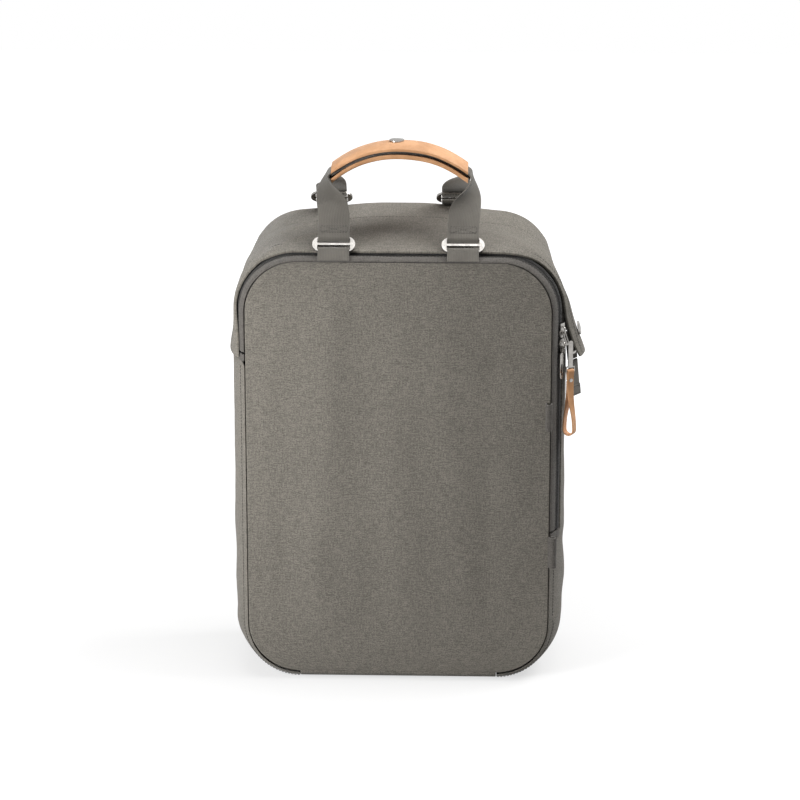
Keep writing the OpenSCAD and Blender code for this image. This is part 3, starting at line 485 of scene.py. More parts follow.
class Shader(Nodes):
    """A node material round one Principled shader."""

    def __init__(self, name, roughness, metallic=0.0, sheen=0.0, specular=0.5):
        self.material = bpy.data.materials.new(name)
        self.material.use_nodes = True
        super().__init__(self.material.node_tree)
        self.bsdf = self.tree.nodes["Principled BSDF"]
        for key, value in (("Roughness", roughness), ("Metallic", metallic),
                           ("Sheen Weight", sheen), ("Specular IOR Level", specular)):
            self.bsdf.inputs[key].default_value = value
        self.place = self.coords("Object")

    def coords(self, kind="UV", scale=(1, 1, 1), turn=(0, 0, 0)):
        place = self.add("TexCoord", {}, kind)
        return self.add("Mapping", {"Vector": place, "Scale": scale, "Rotation": turn})

    def noise(self, size, detail=3, rough=0.55, distortion=0.0, place=None):
        """Noise from 0 to 1 with features of a size in metres."""
        return self.add("TexNoise", {"Vector": place or self.place, "Scale": 1 / size,
                                     "Detail": detail, "Roughness": rough,
                                     "Distortion": distortion})

    def waves(self, place, pitch, direction, distortion=0.0, detail_scale=1.0):
        """Even ridges, a pitch apart in metres."""
        return self.add("TexWave", {"Vector": place, "Scale": math.pi / 10 / pitch,
                                    "Distortion": distortion, "Detail": 2.0,
                                    "Detail Scale": detail_scale}, 1, bands_direction=direction)

    def math(self, operation, a, b):
        return self.add("Math", {0: a, 1: b}, operation=operation)

    def span(self, value, low, high, to_low=0.0, to_high=1.0):
        """A value mapped smoothly from low..high to another range."""
        return self.add("MapRange", {"Value": value, "From Min": low, "From Max": high,
                                     "To Min": to_low, "To Max": to_high},
                        interpolation_type="SMOOTHSTEP")

    def blend(self, share, a, b):
        """A colour between two others; a Mix node's colour sockets go by their position."""
        return self.add("Mix", {0: share, 6: a, 7: b}, 2, data_type="RGBA")

    def clouded(self, cloud, deep, light):
        return self.blend(self.span(cloud, 0.3, 0.7), deep, light)

    def tint(self, colour, value, low, high, share, tone):
        """Lays a share of a tone over a colour, from none where a value is low to all at high."""
        return self.blend(self.math("MULTIPLY", self.span(value, low, high), share), colour, tone)

    def rim(self, colour, share, tone):
        """Lays a share of a tone over the cloth's painted rims."""
        rim = self.add("Attribute", {}, "Fac", attribute_name="rim")
        return self.blend(self.math("MULTIPLY", rim, share), colour, tone)

    def done(self, colour, *bumps, rough=None):
        """Ends a material; each bump is (height, distance in metres, strength), coarse first."""
        self.feed(self.bsdf.inputs["Base Color"], colour)
        if rough:
            self.feed(self.bsdf.inputs["Roughness"], rough)
        normal = {}
        for height, distance, strength in bumps:
            normal = {"Normal": self.add("Bump", {"Height": height, "Distance": distance,
                                                  "Strength": strength, **normal})}
        self.feed(self.bsdf.inputs["Normal"], normal["Normal"])
        return self.material


# Across and along the threads, the size in metres, detail and roughness of picks, ends, slubs
# and flecks
WOVEN_THREADS = (((1, 5, 1), 0.0075, 4, 0.7), ((6, 1, 1), 0.0085, 4, 0.7),
                 ((1, 12, 1), 0.024, 2, 0.5), ((1, 1.4, 1), 0.0015, 2, 0.7))


def woven(name, tone, pitch, contrast=1.0, washed=1.0, sheen=0.2):
    """Washed plain-weave canvas: tone is its middle colour, pitch its thread spacing in mm."""
    s = Shader(name, 0.93, sheen=sheen, specular=0.2)
    uv = s.coords()
    weft = s.waves(uv, pitch * MM, "Y", 1.4, 1.4)
    warp = s.waves(uv, pitch * MM * 1.15, "X", 1.2, 1.4)
    weave = s.math("MULTIPLY", weft, s.span(warp, 0, 1, 0.3, 1))
    picks, ends, slub, fleck = (s.noise(size, detail, rough, place=s.coords("UV", scale))
                                for scale, size, detail, rough in WOVEN_THREADS)
    deep, light, dark, pale = (toned(tone, 1 + f * contrast) for f in (-0.12, 0.12, -0.42, 0.42))
    colour = s.clouded(s.noise(0.09, 3, 0.5), deep, light)
    for threads, share in ((picks, 1.0), (ends, 0.6), (fleck, 0.85)):
        colour = s.tint(colour, threads, 0.5, 0.64, share, dark)
        colour = s.tint(colour, threads, 0.5, 0.36, share, pale)
    colour = s.tint(colour, slub, 0.6, 0.75, 0.45, pale)
    colour = s.tint(colour, s.noise(0.009, 3, 0.7), 0.48, 0.68, 0.2, dark)
    colour = s.tint(colour, weave, 0.5, 0.0, 0.42, toned(tone, 0.45))
    worn = toned(tone, 1.3)
    colour = s.tint(colour, s.noise(0.03, 5, 0.7, 0.6), 0.62, 0.72, 0.25 * washed, worn)
    scuffs = s.span(s.noise(0.004, 2), 0.35, 0.65, 0.1125 * washed, 0.45 * washed)
    return s.done(s.rim(colour, scuffs, worn), (s.noise(0.02, 4, 0.6), 0.0012, 0.35),
                  (picks, 0.0004, 0.35), (weave, 0.00022, 0.9))


def webbing_material(name, tone):
    """Heavy cotton webbing with a herringbone of diagonal ribs along its length."""
    s = Shader(name, 0.9, sheen=0.3, specular=0.25)
    uv = s.coords()
    ends = s.waves(uv, 1.5 * MM, "Y", 0.4)
    picks = s.waves(uv, 0.9 * MM, "X", 0.5)
    twill = s.waves(s.coords("UV", turn=(0, 0, math.radians(32))), 1.25 * MM, "X", 0.6)
    height = s.math("ADD", s.math("MULTIPLY", ends, 0.6),
                    s.math("MULTIPLY", s.math("MULTIPLY", picks, twill), 0.6))
    colour = s.clouded(s.noise(0.03, 4, 0.6), toned(tone, 0.86), toned(tone, 1.14))
    colour = s.tint(colour, height, 0.65, 0.1, 0.5, toned(tone, 0.5))
    return s.done(s.rim(colour, 0.5, toned(tone, 1.3)), (s.noise(0.009, 3), 0.0006, 0.3),
                  (height, 0.0003, 0.9))


def leather_material(name, tone, edge_tone):
    """Vegetable-tanned leather: pores, fine creases, darker burnished edges."""
    s = Shader(name, 0.5, specular=0.45, sheen=0.06)
    grain = s.add("TexVoronoi", {"Vector": s.place, "Scale": 1 / 0.0011}, "Distance")
    fine = s.noise(0.0006, 4, 0.7)
    crease = s.noise(0.006, 4, 0.6, 1.2, s.coords("Object", (0.5, 1.6, 1.6)))
    light = toned(tone, 1.13)
    deep = (tone[0] * 0.84, tone[1] * 0.78, tone[2] * 0.7, 1.0)
    colour = s.blend(s.span(s.noise(0.022, 4, 0.6), 0.32, 0.68), deep, light)
    colour = s.tint(colour, crease, 0.55, 0.75, 0.3, deep)
    colour = s.tint(colour, fine, 0.5, 0.8, 0.25, light)
    return s.done(s.rim(colour, 0.8, edge_tone), (crease, 0.0007, 0.3), (grain, 0.0002, 0.35),
                  (fine, 0.00012, 0.35), rough=s.span(crease, 0.3, 0.7, 0.42, 0.62))


def metal_material(name, tone, roughness):
    """Cast nickel: a soft polish with fine scratches and duller hollows."""
    s = Shader(name, roughness, metallic=1.0)
    cloud = s.noise(0.006, 3, 0.6)
    lines = s.noise(0.006, 3, 0.7, place=s.coords("Object", (14, 1, 1), (0.4, 0.2, 0.9)))
    rough = s.math("ADD", s.math("MULTIPLY", s.span(lines, 0.45, 0.75), 0.08),
                   s.span(cloud, 0.3, 0.7, roughness * 0.8, roughness * 1.4))
    return s.done(s.blend(s.span(cloud, 0.35, 0.7), tone, toned(tone, 0.8)),
                  (cloud, 0.0003, 0.15), (lines, 0.00006, 0.15), rough=rough)


def plastic_material(name, tone):
    """Moulded acetal with a fine spark-eroded surface."""
    s = Shader(name, 0.45)
    fine = s.noise(0.0006, 3, 0.6)
    cloud = s.noise(0.012, 3, 0.5)
    return s.done(s.clouded(cloud, tone, toned(tone, 1.25)), (cloud, 0.0003, 0.1),
                  (fine, 0.00008, 0.5), rough=s.span(fine, 0.3, 0.7, 0.38, 0.55))


def thread_material(name, tone):
    """Twisted sewing thread."""
    s = Shader(name, 0.75, sheen=0.2)
    twist = s.waves(s.coords("Object", turn=(0.6, 0.5, 0.7)), 0.0006, "X", 0.5)
    cloud = s.noise(0.01, 2, 0.5)
    return s.done(s.clouded(cloud, toned(tone, 0.8), tone), (twist, 0.0001, 0.7))


CANVAS = woven("washed_canvas", srgb(135, 130, 121), 0.85)
TRIM = woven("trim_canvas", srgb(104, 100, 95), 0.8, contrast=0.8)
BACK_FABRIC = woven("back_fabric", srgb(98, 94, 89), 0.7, contrast=0.7)
# The zip tape's dark grey is partly its own colour and partly painted shade from the hood and
# strip that lie over the zip.
ZIP_TAPE = woven("zip_tape", srgb(66, 64, 62), 0.5, contrast=0.5, washed=0.3)
LINING = woven("lining_cloth", srgb(62, 61, 60), 0.4, contrast=0.5, washed=0.3, sheen=0.15)
WEBBING = webbing_material("cotton_webbing", srgb(112, 108, 101))
LEATHER = leather_material("tan_leather", srgb(214, 163, 119), srgb(168, 112, 72))
STEEL = metal_material("nickel", srgb(164, 161, 157), 0.24)
PLASTIC = plastic_material("black_acetal", srgb(34, 34, 35))
# The coil's near-black is partly its own colour and partly painted shade from the hood and strip
# that lie over the zip.
COIL = plastic_material("zip_coil", srgb(48, 47, 46))
THREAD_TONE = thread_material("grey_thread", srgb(62, 59, 55))


# ---- Front panel: crowned canvas with soft folds below the buckles ----

PANEL_CROWN = 5
PANEL_MID = (SEAM_LO + SEAM_HI) / 2
PANEL_H = SEAM_HI - SEAM_LO
# Folds of the front: middle x, width, lean and height
FRONT_FOLDS = ((-70, 15, 0.05, 1.5), (-30, 19, -0.04, -1.1), (52, 16, -0.08, 1.3),
               (88, 12, -0.02, -0.9), (4, 24, 0.03, 0.8), (-108, 13, 0.03, -0.8))
HINGE = Vector((ZIP_LEFT_Z - ZIP_RIGHT_Z, 0, 2 * HALF_W)).normalized()
HINGE_MID = Vector((0, Y_FRONT, (ZIP_LEFT_Z + ZIP_RIGHT_Z) / 2))
HINGE_SOFT = 22                  # half of the hinge's width; its ends are worked out and not used


def panel_half(z):
    d = max(0.0, CORNER_LO - z, z - CORNER_HI)
    return CORNER_X + math.sqrt(max(0.0, CORNER_R ** 2 - d * d))


def front_folds(x, z):
    """How far the washed canvas stands out of its smooth form, in millimetres."""
    hang = ease((SEAM_HI - 6 - z) / 70) * ease((z - SEAM_LO) / 90)
    out = 0.0
    for centre, width, lean, size in FRONT_FOLDS:
        line = centre + lean * (z - PANEL_MID) + 5 * ripple(0, 0, z, 90, centre)
        out += size * bump(x, line, width)
    out *= hang
    out += 1.5 * ripple(x * 0.8, 0, z * 0.5, 75, 3.0) * hang
    edge = min(panel_half(z) - abs(x), SEAM_HI - z, z - SEAM_LO)
    out += ease(edge / 26) * (0.55 * ripple(x, 0, z, 24, 8.0) + 0.22 * ripple(x, 0, z, 9, 2.0))
    pucker = bump(edge, 9, 7) * 0.35 * ripple(x, 0, z, 6.5, 4.0)
    return out * ease(edge / 16) + pucker


def front_sheet(name, e, thick, shrink, slot, material, *nodes):
    """A crowned cloth of the front, e behind its skin and shrunk at its edges."""
    def place(z, f, depth):
        inset = shrink + depth * thick * 0.8
        crown = PANEL_CROWN * (1 - f * f) * (1 - ((z - PANEL_MID) / (PANEL_H / 2)) ** 2)
        x = f * (panel_half(z) - inset)
        z = mix(PANEL_MID, z, 1 - inset / (PANEL_H / 2))
        return Vector((x, Y_FRONT - crown - front_folds(x, z) + (e + depth * thick), z))

    shares = [math.sin(math.pi / 2 * i / 30) * 0.35 + i / 30 * 0.65 for i in range(-30, 31)]
    rows = [SEAM_LO + 0.05] + [CORNER_LO + CORNER_R * sind(a) for a in range(-88, 0, 4)]
    rows += [mix(CORNER_LO, CORNER_HI, i / 64) for i in range(65)]
    rows += [CORNER_HI + CORNER_R * sind(a) for a in range(4, 90, 4)] + [SEAM_HI - 0.05]
    obj = finish(cloth_from(name, rows, shares, place, material, turned=True), slot, None, *nodes)
    ends = (tuple((HINGE_MID + HINGE * s * HINGE_SOFT) * MM) for s in (-1, 1))
    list(ends)
    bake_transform(obj)


def make_front():
    front_sheet("front_canvas", 0, CLOTH, 0.35, "canvas", CANVAS, "front_panel",
                "front_foot_panel")
    front_sheet("front_inner_lining", CLOTH + 0.5, 0.8, 6, "lining", LINING, "front_lining")


# ---- The wall's own folds, shared by every piece of it so that they stay apart ----

LOW_RUMPLE = 110                 # height of the slack folds low on the sides
CREASE_Z = 57                    # a slanted crease in the right wall meets the front seam here


def rumple(station, q):
    """How far the wall's canvas stands out at a place, in millimetres."""
    p = wall(station, q, 0)
    side = cosd(station[2]) ** 2
    inside = ease((q - GUSSET_Q) / 20) * ease((DEPTH - 2 - q) / 14)
    out = 1.2 * ripple(*p, 62, 1.0) + 0.5 * ripple(*p, 21, 6.0)
    slack = bump(p.z, LOW_RUMPLE if p.x > 0 else LOW_RUMPLE - 40, 46) * side
    out += slack * 1.1 * math.sin((p.z + 0.55 * p.y) / 11 + 2.5 * ripple(*p, 48, 9.0))
    edges = bump(q, DEPTH - 6, 5) + bump(q, 7, 4) * side * (p.z < 150)
    below = p.z - CREASE_Z - 0.92 * q
    crease = side * (p.x > 0) * bump(q, 18, 16) * ease(q / 5)
    out = inside * (out + 0.2 * ripple(*p, 8, 3.0)) \
        + crease * (1.3 * bump(below, -7, 5) - 1.5 * bump(below, 0, 2.4))
    return out + 0.3 * ripple(*p, 6, 4.0) * edges * ease(q / 5) * ease((DEPTH - q) / 4)


def no_folds(station, q):
    return 0.0


def draped(s, q, e, shift, folds):
    """A point on the skin with its folds, moved sideways where the cloth stands away."""
    p = wall(s, q, e + folds(s, q))
    return p + Vector((shift(s, q), 0, 0)) if shift else p


def wall_cloth(name, path, columns, material, slot, body, node, shift=None, folds=rumple):
    """A piece of the wall with columns (q, outer offset, inner offset, inner q if it differs)."""
    at = columns if callable(columns) else (lambda s: columns)
    outer = [[draped(s, c[0], c[1], shift, folds) for c in at(s)] for s in path]
    inner = [[draped(s, c[3] if len(c) > 3 else c[0], c[2], shift, folds) for c in at(s)]
             for s in path]
    finish(cloth_grid(name, outer, inner, material), slot, body, node)


# ---- Zip: band, tapes, coils and the stitched ends ----

COIL_TOP = 0.8
COIL_LOW = -1.7
TAPE_LOW = -2.8
COIL_GAP = 0.2
COIL_W = 1.7
TAPE_T = 0.7
TOOTH = 1.5                      # pitch of the coil
WIRE_R = 0.28
WIRE_HALF = 0.4                  # half of the diagonal of the wire's square section
COIL_SLANT = 0.2
ZIP_SPAN = (ZIP_LEFT_Z + 2, ZIP_RIGHT_Z + 2)


def coil(sign):
    """A row of coil turns beside the zip's centre line, on one tape."""
    fine = stations(*ZIP_SPAN, 1.0, 1.2)
    centre = ZIP_Q + sign * (COIL_GAP + COIL_W / 2)
    points = [wall(s, centre, 0) for s in fine]
    total, at = follow(points, [wall(s, centre, 1) - p for s, p in zip(fine, points)])
    count = int(total / TOOTH)
    middle = (COIL_TOP + COIL_LOW) / 2
    tall, wide = (COIL_TOP - COIL_LOW) / 2 - WIRE_R, COIL_W / 2 - WIRE_R
    verts, faces = [], []
    for k in range(count):
        place, up, along = at((k + (0.25 if sign > 0 else 0.75)) * total / count)
        across = up.cross(along).normalized()
        loop = [place + up * (middle + tall * w) + across * (wide * u) + along * (COIL_SLANT * w)
                for u, w in circle(8)]
        rings = [range(len(verts) + 4 * turn, len(verts) + 4 * turn + 4) for turn in range(8)]
        for turn in range(8):
            side = (loop[(turn + 1) % 8] - loop[turn - 1]).normalized().cross(along).normalized()
            for corner in range(45, 360, 90):
                verts.append(loop[turn] + (side * cosd(corner) + along * sind(corner)) * WIRE_HALF)
        for turn in range(8):
            bridge(faces, rings[turn], rings[(turn + 1) % 8])
    return verts, faces


def make_zip():
    def strip_folds(s, q):
        p = wall(s, q, 0)
        return 0.16 * ripple(*p, 7, 2.0) + 0.25 * ripple(*p, 23, 5.0)

    path = stations(*ZIP_SPAN)
    tube = [(0.35, 0.0, -CLOTH, CLOTH + 0.3), (1.6, 0.75, -CLOTH + 0.6),
            (STRIP_W * 0.5, 0.95, -CLOTH + 0.4), (STRIP_W - 1.4, 0.55, -CLOTH),
            (STRIP_W, -0.3, -CLOTH)]
    wall_cloth("zip_band", path, tube, TRIM, "trim_canvas", "front_flap", "zip_strip",
               folds=strip_folds)
    edge, body_edge = ZIP_Q - COIL_GAP, ZIP_Q + COIL_GAP
    for name, body, node, tape in (
            ("front_tape", "front_flap", "zip_tape_front",
             ((CLOTH + 0.8, TAPE_LOW), (STRIP_W + 0.1, TAPE_LOW), (STRIP_W + 0.9, -0.6),
              (edge - COIL_W, -0.5), (edge - 0.3, -0.5))),
            ("body_tape", "pack", "zip_tape_body",
             ((body_edge + 0.3, -0.5), (body_edge + COIL_W, -0.5), (GUSSET_Q - 2.4, -0.6),
              (GUSSET_Q - 0.5, TAPE_LOW), (GUSSET_Q + 8, TAPE_LOW)))):
        wall_cloth(name, path, [(q, e, e - TAPE_T) for q, e in tape], ZIP_TAPE, "zip_tape", body,
                   node, folds=no_folds)
    for name, sign, body in (("front_coil", -1, "front_flap"), ("body_coil", 1, "pack")):
        obj = make_object(name, *coil(sign), COIL)
        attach(obj, body)
    columns = [(0.35, 0.0, -CLOTH, CLOTH + 0.3), (2, 0.7, -CLOTH), (STRIP_W - 1, 0.7, -CLOTH),
               (STRIP_W + 0.8, TAPE_LOW + 2.4, TAPE_LOW - TAPE_T),
               (ZIP_Q - 2.3, COIL_TOP, COIL_LOW), (ZIP_Q + 2.3, COIL_TOP, COIL_LOW),
               (GUSSET_Q - 0.5, TAPE_LOW + 2.4, TAPE_LOW - TAPE_T)]
    for side, x, angle, top in (("left", -CORNER_X, 180, ZIP_LEFT_Z),
                                ("right", CORNER_X, 0, ZIP_RIGHT_Z)):
        wall_cloth("zip_stop_" + side, [(x, z, angle) for z in spread(top - 7, top, 1.4)],
                   columns, TRIM, "zip_tape", "pack", "zip_end_" + side, folds=no_folds)


# ---- Hood: it lies on the top and its right corner stands away from the side ----

HOOD_IN = GAP
HOOD_OUT = HOOD_IN + CLOTH
HOOD_SEAM_Q = 91                 # a seam runs across the hood here
HOOD_REACH = 7                   # on the top it reaches this far forwards over the zip
HOOD_FLARE = 16
FLARE_H = 64
# Folds: middle x, depth there, how far they run back for each millimetre of x, height
SHOULDER_FOLDS = ((-96, 38, 0.8, 3.0), (-108, 54, 1.0, -2.4), (-104, 76, 0.5, 1.2),
                  (104, 44, -0.7, 1.4), (92, 70, -0.4, -1.1), (20, 62, 0.1, -0.9),
                  (-20, 44, -0.15, 0.8))


def flare(s, q):
    if s[2] >= 60:
        return 0.0
    rise = max(0.0, (HOOD_Z + FLARE_H - wall(s, q, 0).z) / FLARE_H)
    curl = mix(2.0, 1.1, ease((q - HOOD_Q) / 9))
    return HOOD_FLARE * rise ** curl * (1 - 0.9 * ease((q - HOOD_Q - 16) / (DEPTH - HOOD_Q - 20)))


def hood_folds(s, q):
    p = wall(s, q, 0)
    out = rumple(s, q)
    hem = bump(q, HOOD_Q + 3, 6)
    out += 0.35 * hem * ripple(*p, 8, 4.0) + 0.5 * hem * ripple(*p, 30, 7.0)
    for x, q0, slope, size in SHOULDER_FOLDS:
        line = q0 + slope * (p.x - x)
        out += size * bump(q, line, 5) * bump(p.x, x, 30) * ease((p.z - 380) / 30)
    return max(out, -0.1)


def make_hood():
    qs = [HOOD_Q, HOOD_Q + 0.8, HOOD_Q + 2.5, HOOD_Q + 5]
    qs += spread(HOOD_Q + 8, HOOD_SEAM_Q - 6, 4.5)
    qs += [HOOD_SEAM_Q + d for d in (-2, -0.8, 0, 0.8, 2, 4)]
    qs += spread(HOOD_SEAM_Q + 8, DEPTH - 6, 5) + [DEPTH - 3, DEPTH - 0.3]

    def columns(s):
        """On the top and the left the hem reaches over the zip, where it lies on the coil."""
        x, z = s[0] + CORNER_R * cosd(s[2]), s[1] + CORNER_R * sind(s[2])
        over = 1.0 if x < 0 else ease((132 - x) / 30) * (s[2] > 0)
        reach = HOOD_REACH + (5 * ease((385 - z) / 45) if x < 0 else 0)
        out = []
        for q in qs:
            near = 1 - ease((q - HOOD_Q) / 14)
            groove = 0.4 * (q < HOOD_Q + 1) + 0.7 * (abs(q - HOOD_SEAM_Q) < 0.5)
            raised = 0.95 * over * near
            out.append((q - reach * over * near, HOOD_OUT - groove + raised, HOOD_IN + raised))
        return out

    wall_cloth("hood_canvas", stations(HOOD_Z, HOOD_Z), columns, CANVAS, "canvas", "pack",
               "hood", shift=flare, folds=hood_folds)


# ---- Gussets, bottom and linings ----

GUSSET_TOP = {-1: 346, 1: 368}
GUSSET_END = DEPTH - 0.5
LINING_E = TAPE_LOW - TAPE_T - GAP
# On each side: x's sign, its name, the height of the zip's end there
SIDES = ((-1, "left", ZIP_LEFT_Z), (1, "right", ZIP_RIGHT_Z))


def side_stations(sx, z_top):
    """From the top of one side down round the bottom corner."""
    turn = 0 if sx > 0 else 180
    out = [(sx * CORNER_X, z, turn) for z in spread(z_top, CORNER_LO, 5)]
    return out + [(sx * CORNER_X, CORNER_LO, turn - sx * a) for a in range(3, 91, 3)]


def make_walls():
    top = stations(GUSSET_TOP[-1] + 0.3, GUSSET_TOP[1] + 0.3)
    qs = [GUSSET_Q, GUSSET_Q + 1.5] + spread(GUSSET_Q + 5, GUSSET_END - 3, 5.5) + [GUSSET_END]
    wall_cloth("top_wall", top, [(q, -0.3, -CLOTH) for q in qs], CANVAS, "canvas", "pack",
               "top_gusset")
    n = 26
    for sx, name, z_zip in SIDES:
        def place(s, i, depth):
            below = s[1] < z_zip - 8 or s[2] not in (0, 180)
            q = mix(0.35 if below else GUSSET_Q, GUSSET_END, i / n)
            back = CLOTH * (depth and below and i == 0)
            return wall(s, q + back, (-CLOTH if depth else -0.05) + rumple(s, q))

        obj = cloth_from("side_wall_" + name, side_stations(sx, GUSSET_TOP[sx]), range(n + 1),
                         place, CANVAS)
        finish(obj, "canvas", "pack", "gusset_" + name)


def make_bottom():
    def place(x, q, depth):
        y = clamp(q, CLOTH + 0.3, DEPTH - CLOTH) if depth else max(0.35, q)
        return Vector((x, Y_FRONT + y, SEAM_LO - base_off(q) + (CLOTH if depth else 0.05)))

    qs = [BASE_ROUND * (1 - cosd(a)) for a in range(0, 91, 9)]
    qs = qs + spread(BASE_ROUND + 6, DEPTH - BASE_ROUND - 6, 9) + [DEPTH - q for q in reversed(qs)]
    xs = spread(-CORNER_X + 0.4, CORNER_X - 0.4, 6)
    finish(cloth_from("bottom_canvas", xs, qs, place, CANVAS), "canvas", "pack", "bottom_panel")


def make_linings():
    path = [(-CORNER_X + 0.1, CORNER_LO, 270)]
    path += [(-CORNER_X, CORNER_LO, a) for a in range(266, 180, -6)]
    path += stations(CORNER_LO, CORNER_LO, 10, 6)
    path += [(CORNER_X, CORNER_LO, -a) for a in range(6, 90, 6)]
    path += [(CORNER_X - 0.1, CORNER_LO, -90)]
    columns = [(q, LINING_E, LINING_E - 0.9) for q in spread(GUSSET_Q + 9, DEPTH - 9.8, 8)]
    wall_cloth("wall_lining", path, columns, LINING, "lining", "pack", "body_lining",
               folds=no_folds)


def open_pocket(name, node, wall_t):
    """A lined pocket, open at its top and back, with a bound upper edge and rounded corners."""
    (x0, y0, z0), (x1, y1, z1) = node_box(node)
    half = (x1 - x0) / 2
    section = [(-half, y1), (-half, y0 + 6), (-half + 2, y0 + 2), (-half + 6, y0)]
    section += [(x, y0) for x in spread(-half + 20, half - 20, 16)]
    section += [(half - 6, y0), (half - 2, y0 + 2), (half, y0 + 6), (half, y1)]

    def place(z, spot, depth):
        x, y = spot
        slack = max(0.0, 1.3 * ripple(x, 0, z, 45, 2.0) * ease((z - z0) / 30)
                    * ease((half - abs(x)) / 25))
        narrow = 1 - 3.0 * (1 - ease((z - z0) / 8)) / half
        if depth:
            x -= math.copysign(wall_t if abs(x) > half - 5 else min(wall_t, 1.5), x)
            y += wall_t * (y < y1)
            z = max(z, z0 + wall_t * 0.6)
        else:
            y -= 0.2 * (z > z1 - 7)              # the bound edge stands out
        return Vector(((x0 + x1) / 2 + x * narrow, y + slack, z))

    zs = [z0, z0 + 1.2, z0 + 5] + spread(z0 + 12, z1 - 9, 12) + [z1 - 6, z1 - 1.5, z1]
    finish(cloth_from(name, zs, section, place, LINING), "lining", "pack", node)


# ---- Back: a quilted panel blown up by cloth simulation, shoulder straps, webbing ----

BACK_OUT = Y_BACK + 2.6
YOKE_Y = BACK_OUT + GAP
CLOTH_FRAMES = 20
CHANNELS = (120, 200, 280)       # heights of the sewn channels across the back
FRAME_X = 118                    # the quilted frame's distance from the middle


def simulate(obj, pressure, cap, voxel=0, pins=None):
    """Fills a closed form like a cushion: remesh, blow up with Cloth, limit each point's way.

    A form thinner than its voxels keeps its own grid, with a voxel of 0."""
    if voxel:
        modifier = obj.modifiers.new("remesh", "REMESH")
        modifier.mode = "VOXEL"
        modifier.voxel_size = voxel * MM
        bake_modifiers(obj)
    before = [v.co.copy() for v in obj.data.vertices]
    settings = obj.modifiers.new("cloth", "CLOTH").settings
    settings.use_pressure = True
    settings.uniform_pressure_force = pressure
    settings.effector_weights.gravity = 0
    settings.quality = 5
    if pins:
        group = obj.vertex_groups.new(name="pins")
        group.add([v.index for v in obj.data.vertices if pins(v.co / MM)], 1.0, "REPLACE")
        settings.vertex_group_mass = "pins"
    scene = bpy.context.scene
    for step in range(1, CLOTH_FRAMES + 1):
        scene.frame_set(step)
    bake_modifiers(obj)
    scene.frame_set(1)
    for v, was in zip(obj.data.vertices, before):
        move = v.co - was
        if move.length > cap * MM:
            v.co = was + move.normalized() * (cap * MM)
    obj.vertex_groups.clear()


def cushion(obj, node, body):
    """Ends a simulated form: smooth, finer, with UVs straight from x and z in metres."""
    shade_smooth(obj.data)
    subdivide(obj)
    mesh = obj.data
    layer = mesh.uv_layers.get("UVMap") or mesh.uv_layers.new(name="UVMap")
    for loop in mesh.loops:
        co = mesh.vertices[loop.vertex_index].co
        layer.data[loop.index].uv = (co.x, co.z)
    finish(obj, "back_fabric", body, node)


def back_half(z, inset):
    """Half of the back panel's width at a height."""
    side = CORNER_X + CORNER_R - inset + BACK_SPREAD
    top, low = SEAM_HI + TOP_RISE - inset, SEAM_LO + inset
    share = max(0.0, (z - CORNER_HI) / (top - CORNER_HI), (CORNER_LO - z) / (CORNER_LO - low))
    return CORNER_X + (side - CORNER_X) * math.sqrt(1 - min(1.0, share) ** 2)


def quilt(x, z):
    """Depth of the sewn channels at a place on the back panel, from 0 to 1."""
    if back_half(z, 22) <= abs(x):
        return 0.0
    line = max(bump(z, c, 3.2) for c in CHANNELS) * ease((FRAME_X - abs(x)) / 6)
    spine = bump(x, 0, 3.2) * ease((z - 60) / 8) * ease((345 - z) / 8)
    return max(line, spine, bump(abs(x), FRAME_X, 3.0) * ease((z - 50) / 8) * ease((360 - z) / 8))


def make_back():
    top = SEAM_HI + TOP_RISE
    rows = [SEAM_LO + 0.3]
    rows += [CORNER_LO - (CORNER_LO - SEAM_LO) * cosd(a) for a in range(6, 90, 6)]
    rows += spread(CORNER_LO, CORNER_HI, 8)
    rows += [CORNER_HI + (top - CORNER_HI) * sind(a) for a in range(6, 90, 6)] + [top - 0.3]
    shares = [i / 24 for i in range(-24, 25)]

    def skin(z, f, depth):
        return Vector((f * back_half(z, 0.4), Y_BACK + 0.25 if depth else BACK_OUT - 0.15, z))

    def foam(z, f, depth):
        y = high[1] if depth else low[1] + 0.2 + 0.6 * ripple(f * 140, 0, z, 60)
        return Vector((f * back_half(z, 5.5), y, z))

    obj = cloth_from("back_cloth", rows, shares, skin, BACK_FABRIC, soft=False)
    simulate(obj, 1.2, 1.8, pins=lambda p: p.y < Y_BACK + 1 or back_half(p.z, 7) < abs(p.x)
             or p.z < SEAM_LO + 9 or p.z > top - 40 or (p.z < 70 and abs(p.x) > 80))
    sagged(obj)
    for v in obj.data.vertices:
        out = v.co.y / MM - Y_BACK - 1.2
        if out > 0:
            v.co.y -= 0.9 * MM * quilt(v.co.x / MM, v.co.z / MM) * ease(out)
    cushion(obj, "back_panel", "pack")

    low, high = node_box("back_foam")
    rows = [z for z in rows if low[2] + 1 < z < high[2] - 1]
    obj = cloth_from("back_foam_cover", rows, shares, foam, LINING)
    sagged(obj)
    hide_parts("back_foam")
    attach(obj, "pack")
    fill_slots(bpy.data.objects["bottom_board"], LINING)


PAD_W = 58
PAD_T = 10
LOW_W = 25
ANCHOR_Y = YOKE_Y + 2.3          # the webbing leaves the anchor here
LOCK_BACK = 1.7                  # from the ladder lock's middle to its back bar
PAD_TOP_Y = YOKE_Y + CLOTH + GAP + PAD_T / 2
# The strap's middle line from the yoke down: x, out from the back, z and share of the width
PAD_PATH = ((38, 0, 428, 0.72), (40, 7, 408, 0.86), (46, 14, 380, 0.96), (56, 21, 340, 1),
            (68, 26, 290, 1), (80, 27, 240, 1), (89, 24, 195, 0.94), (96, 19, 150, 0.62))
PAD_SHARES = (-1, -0.9, -0.72, -0.45, -0.2, 0, 0.2, 0.45, 0.72, 0.9, 1)


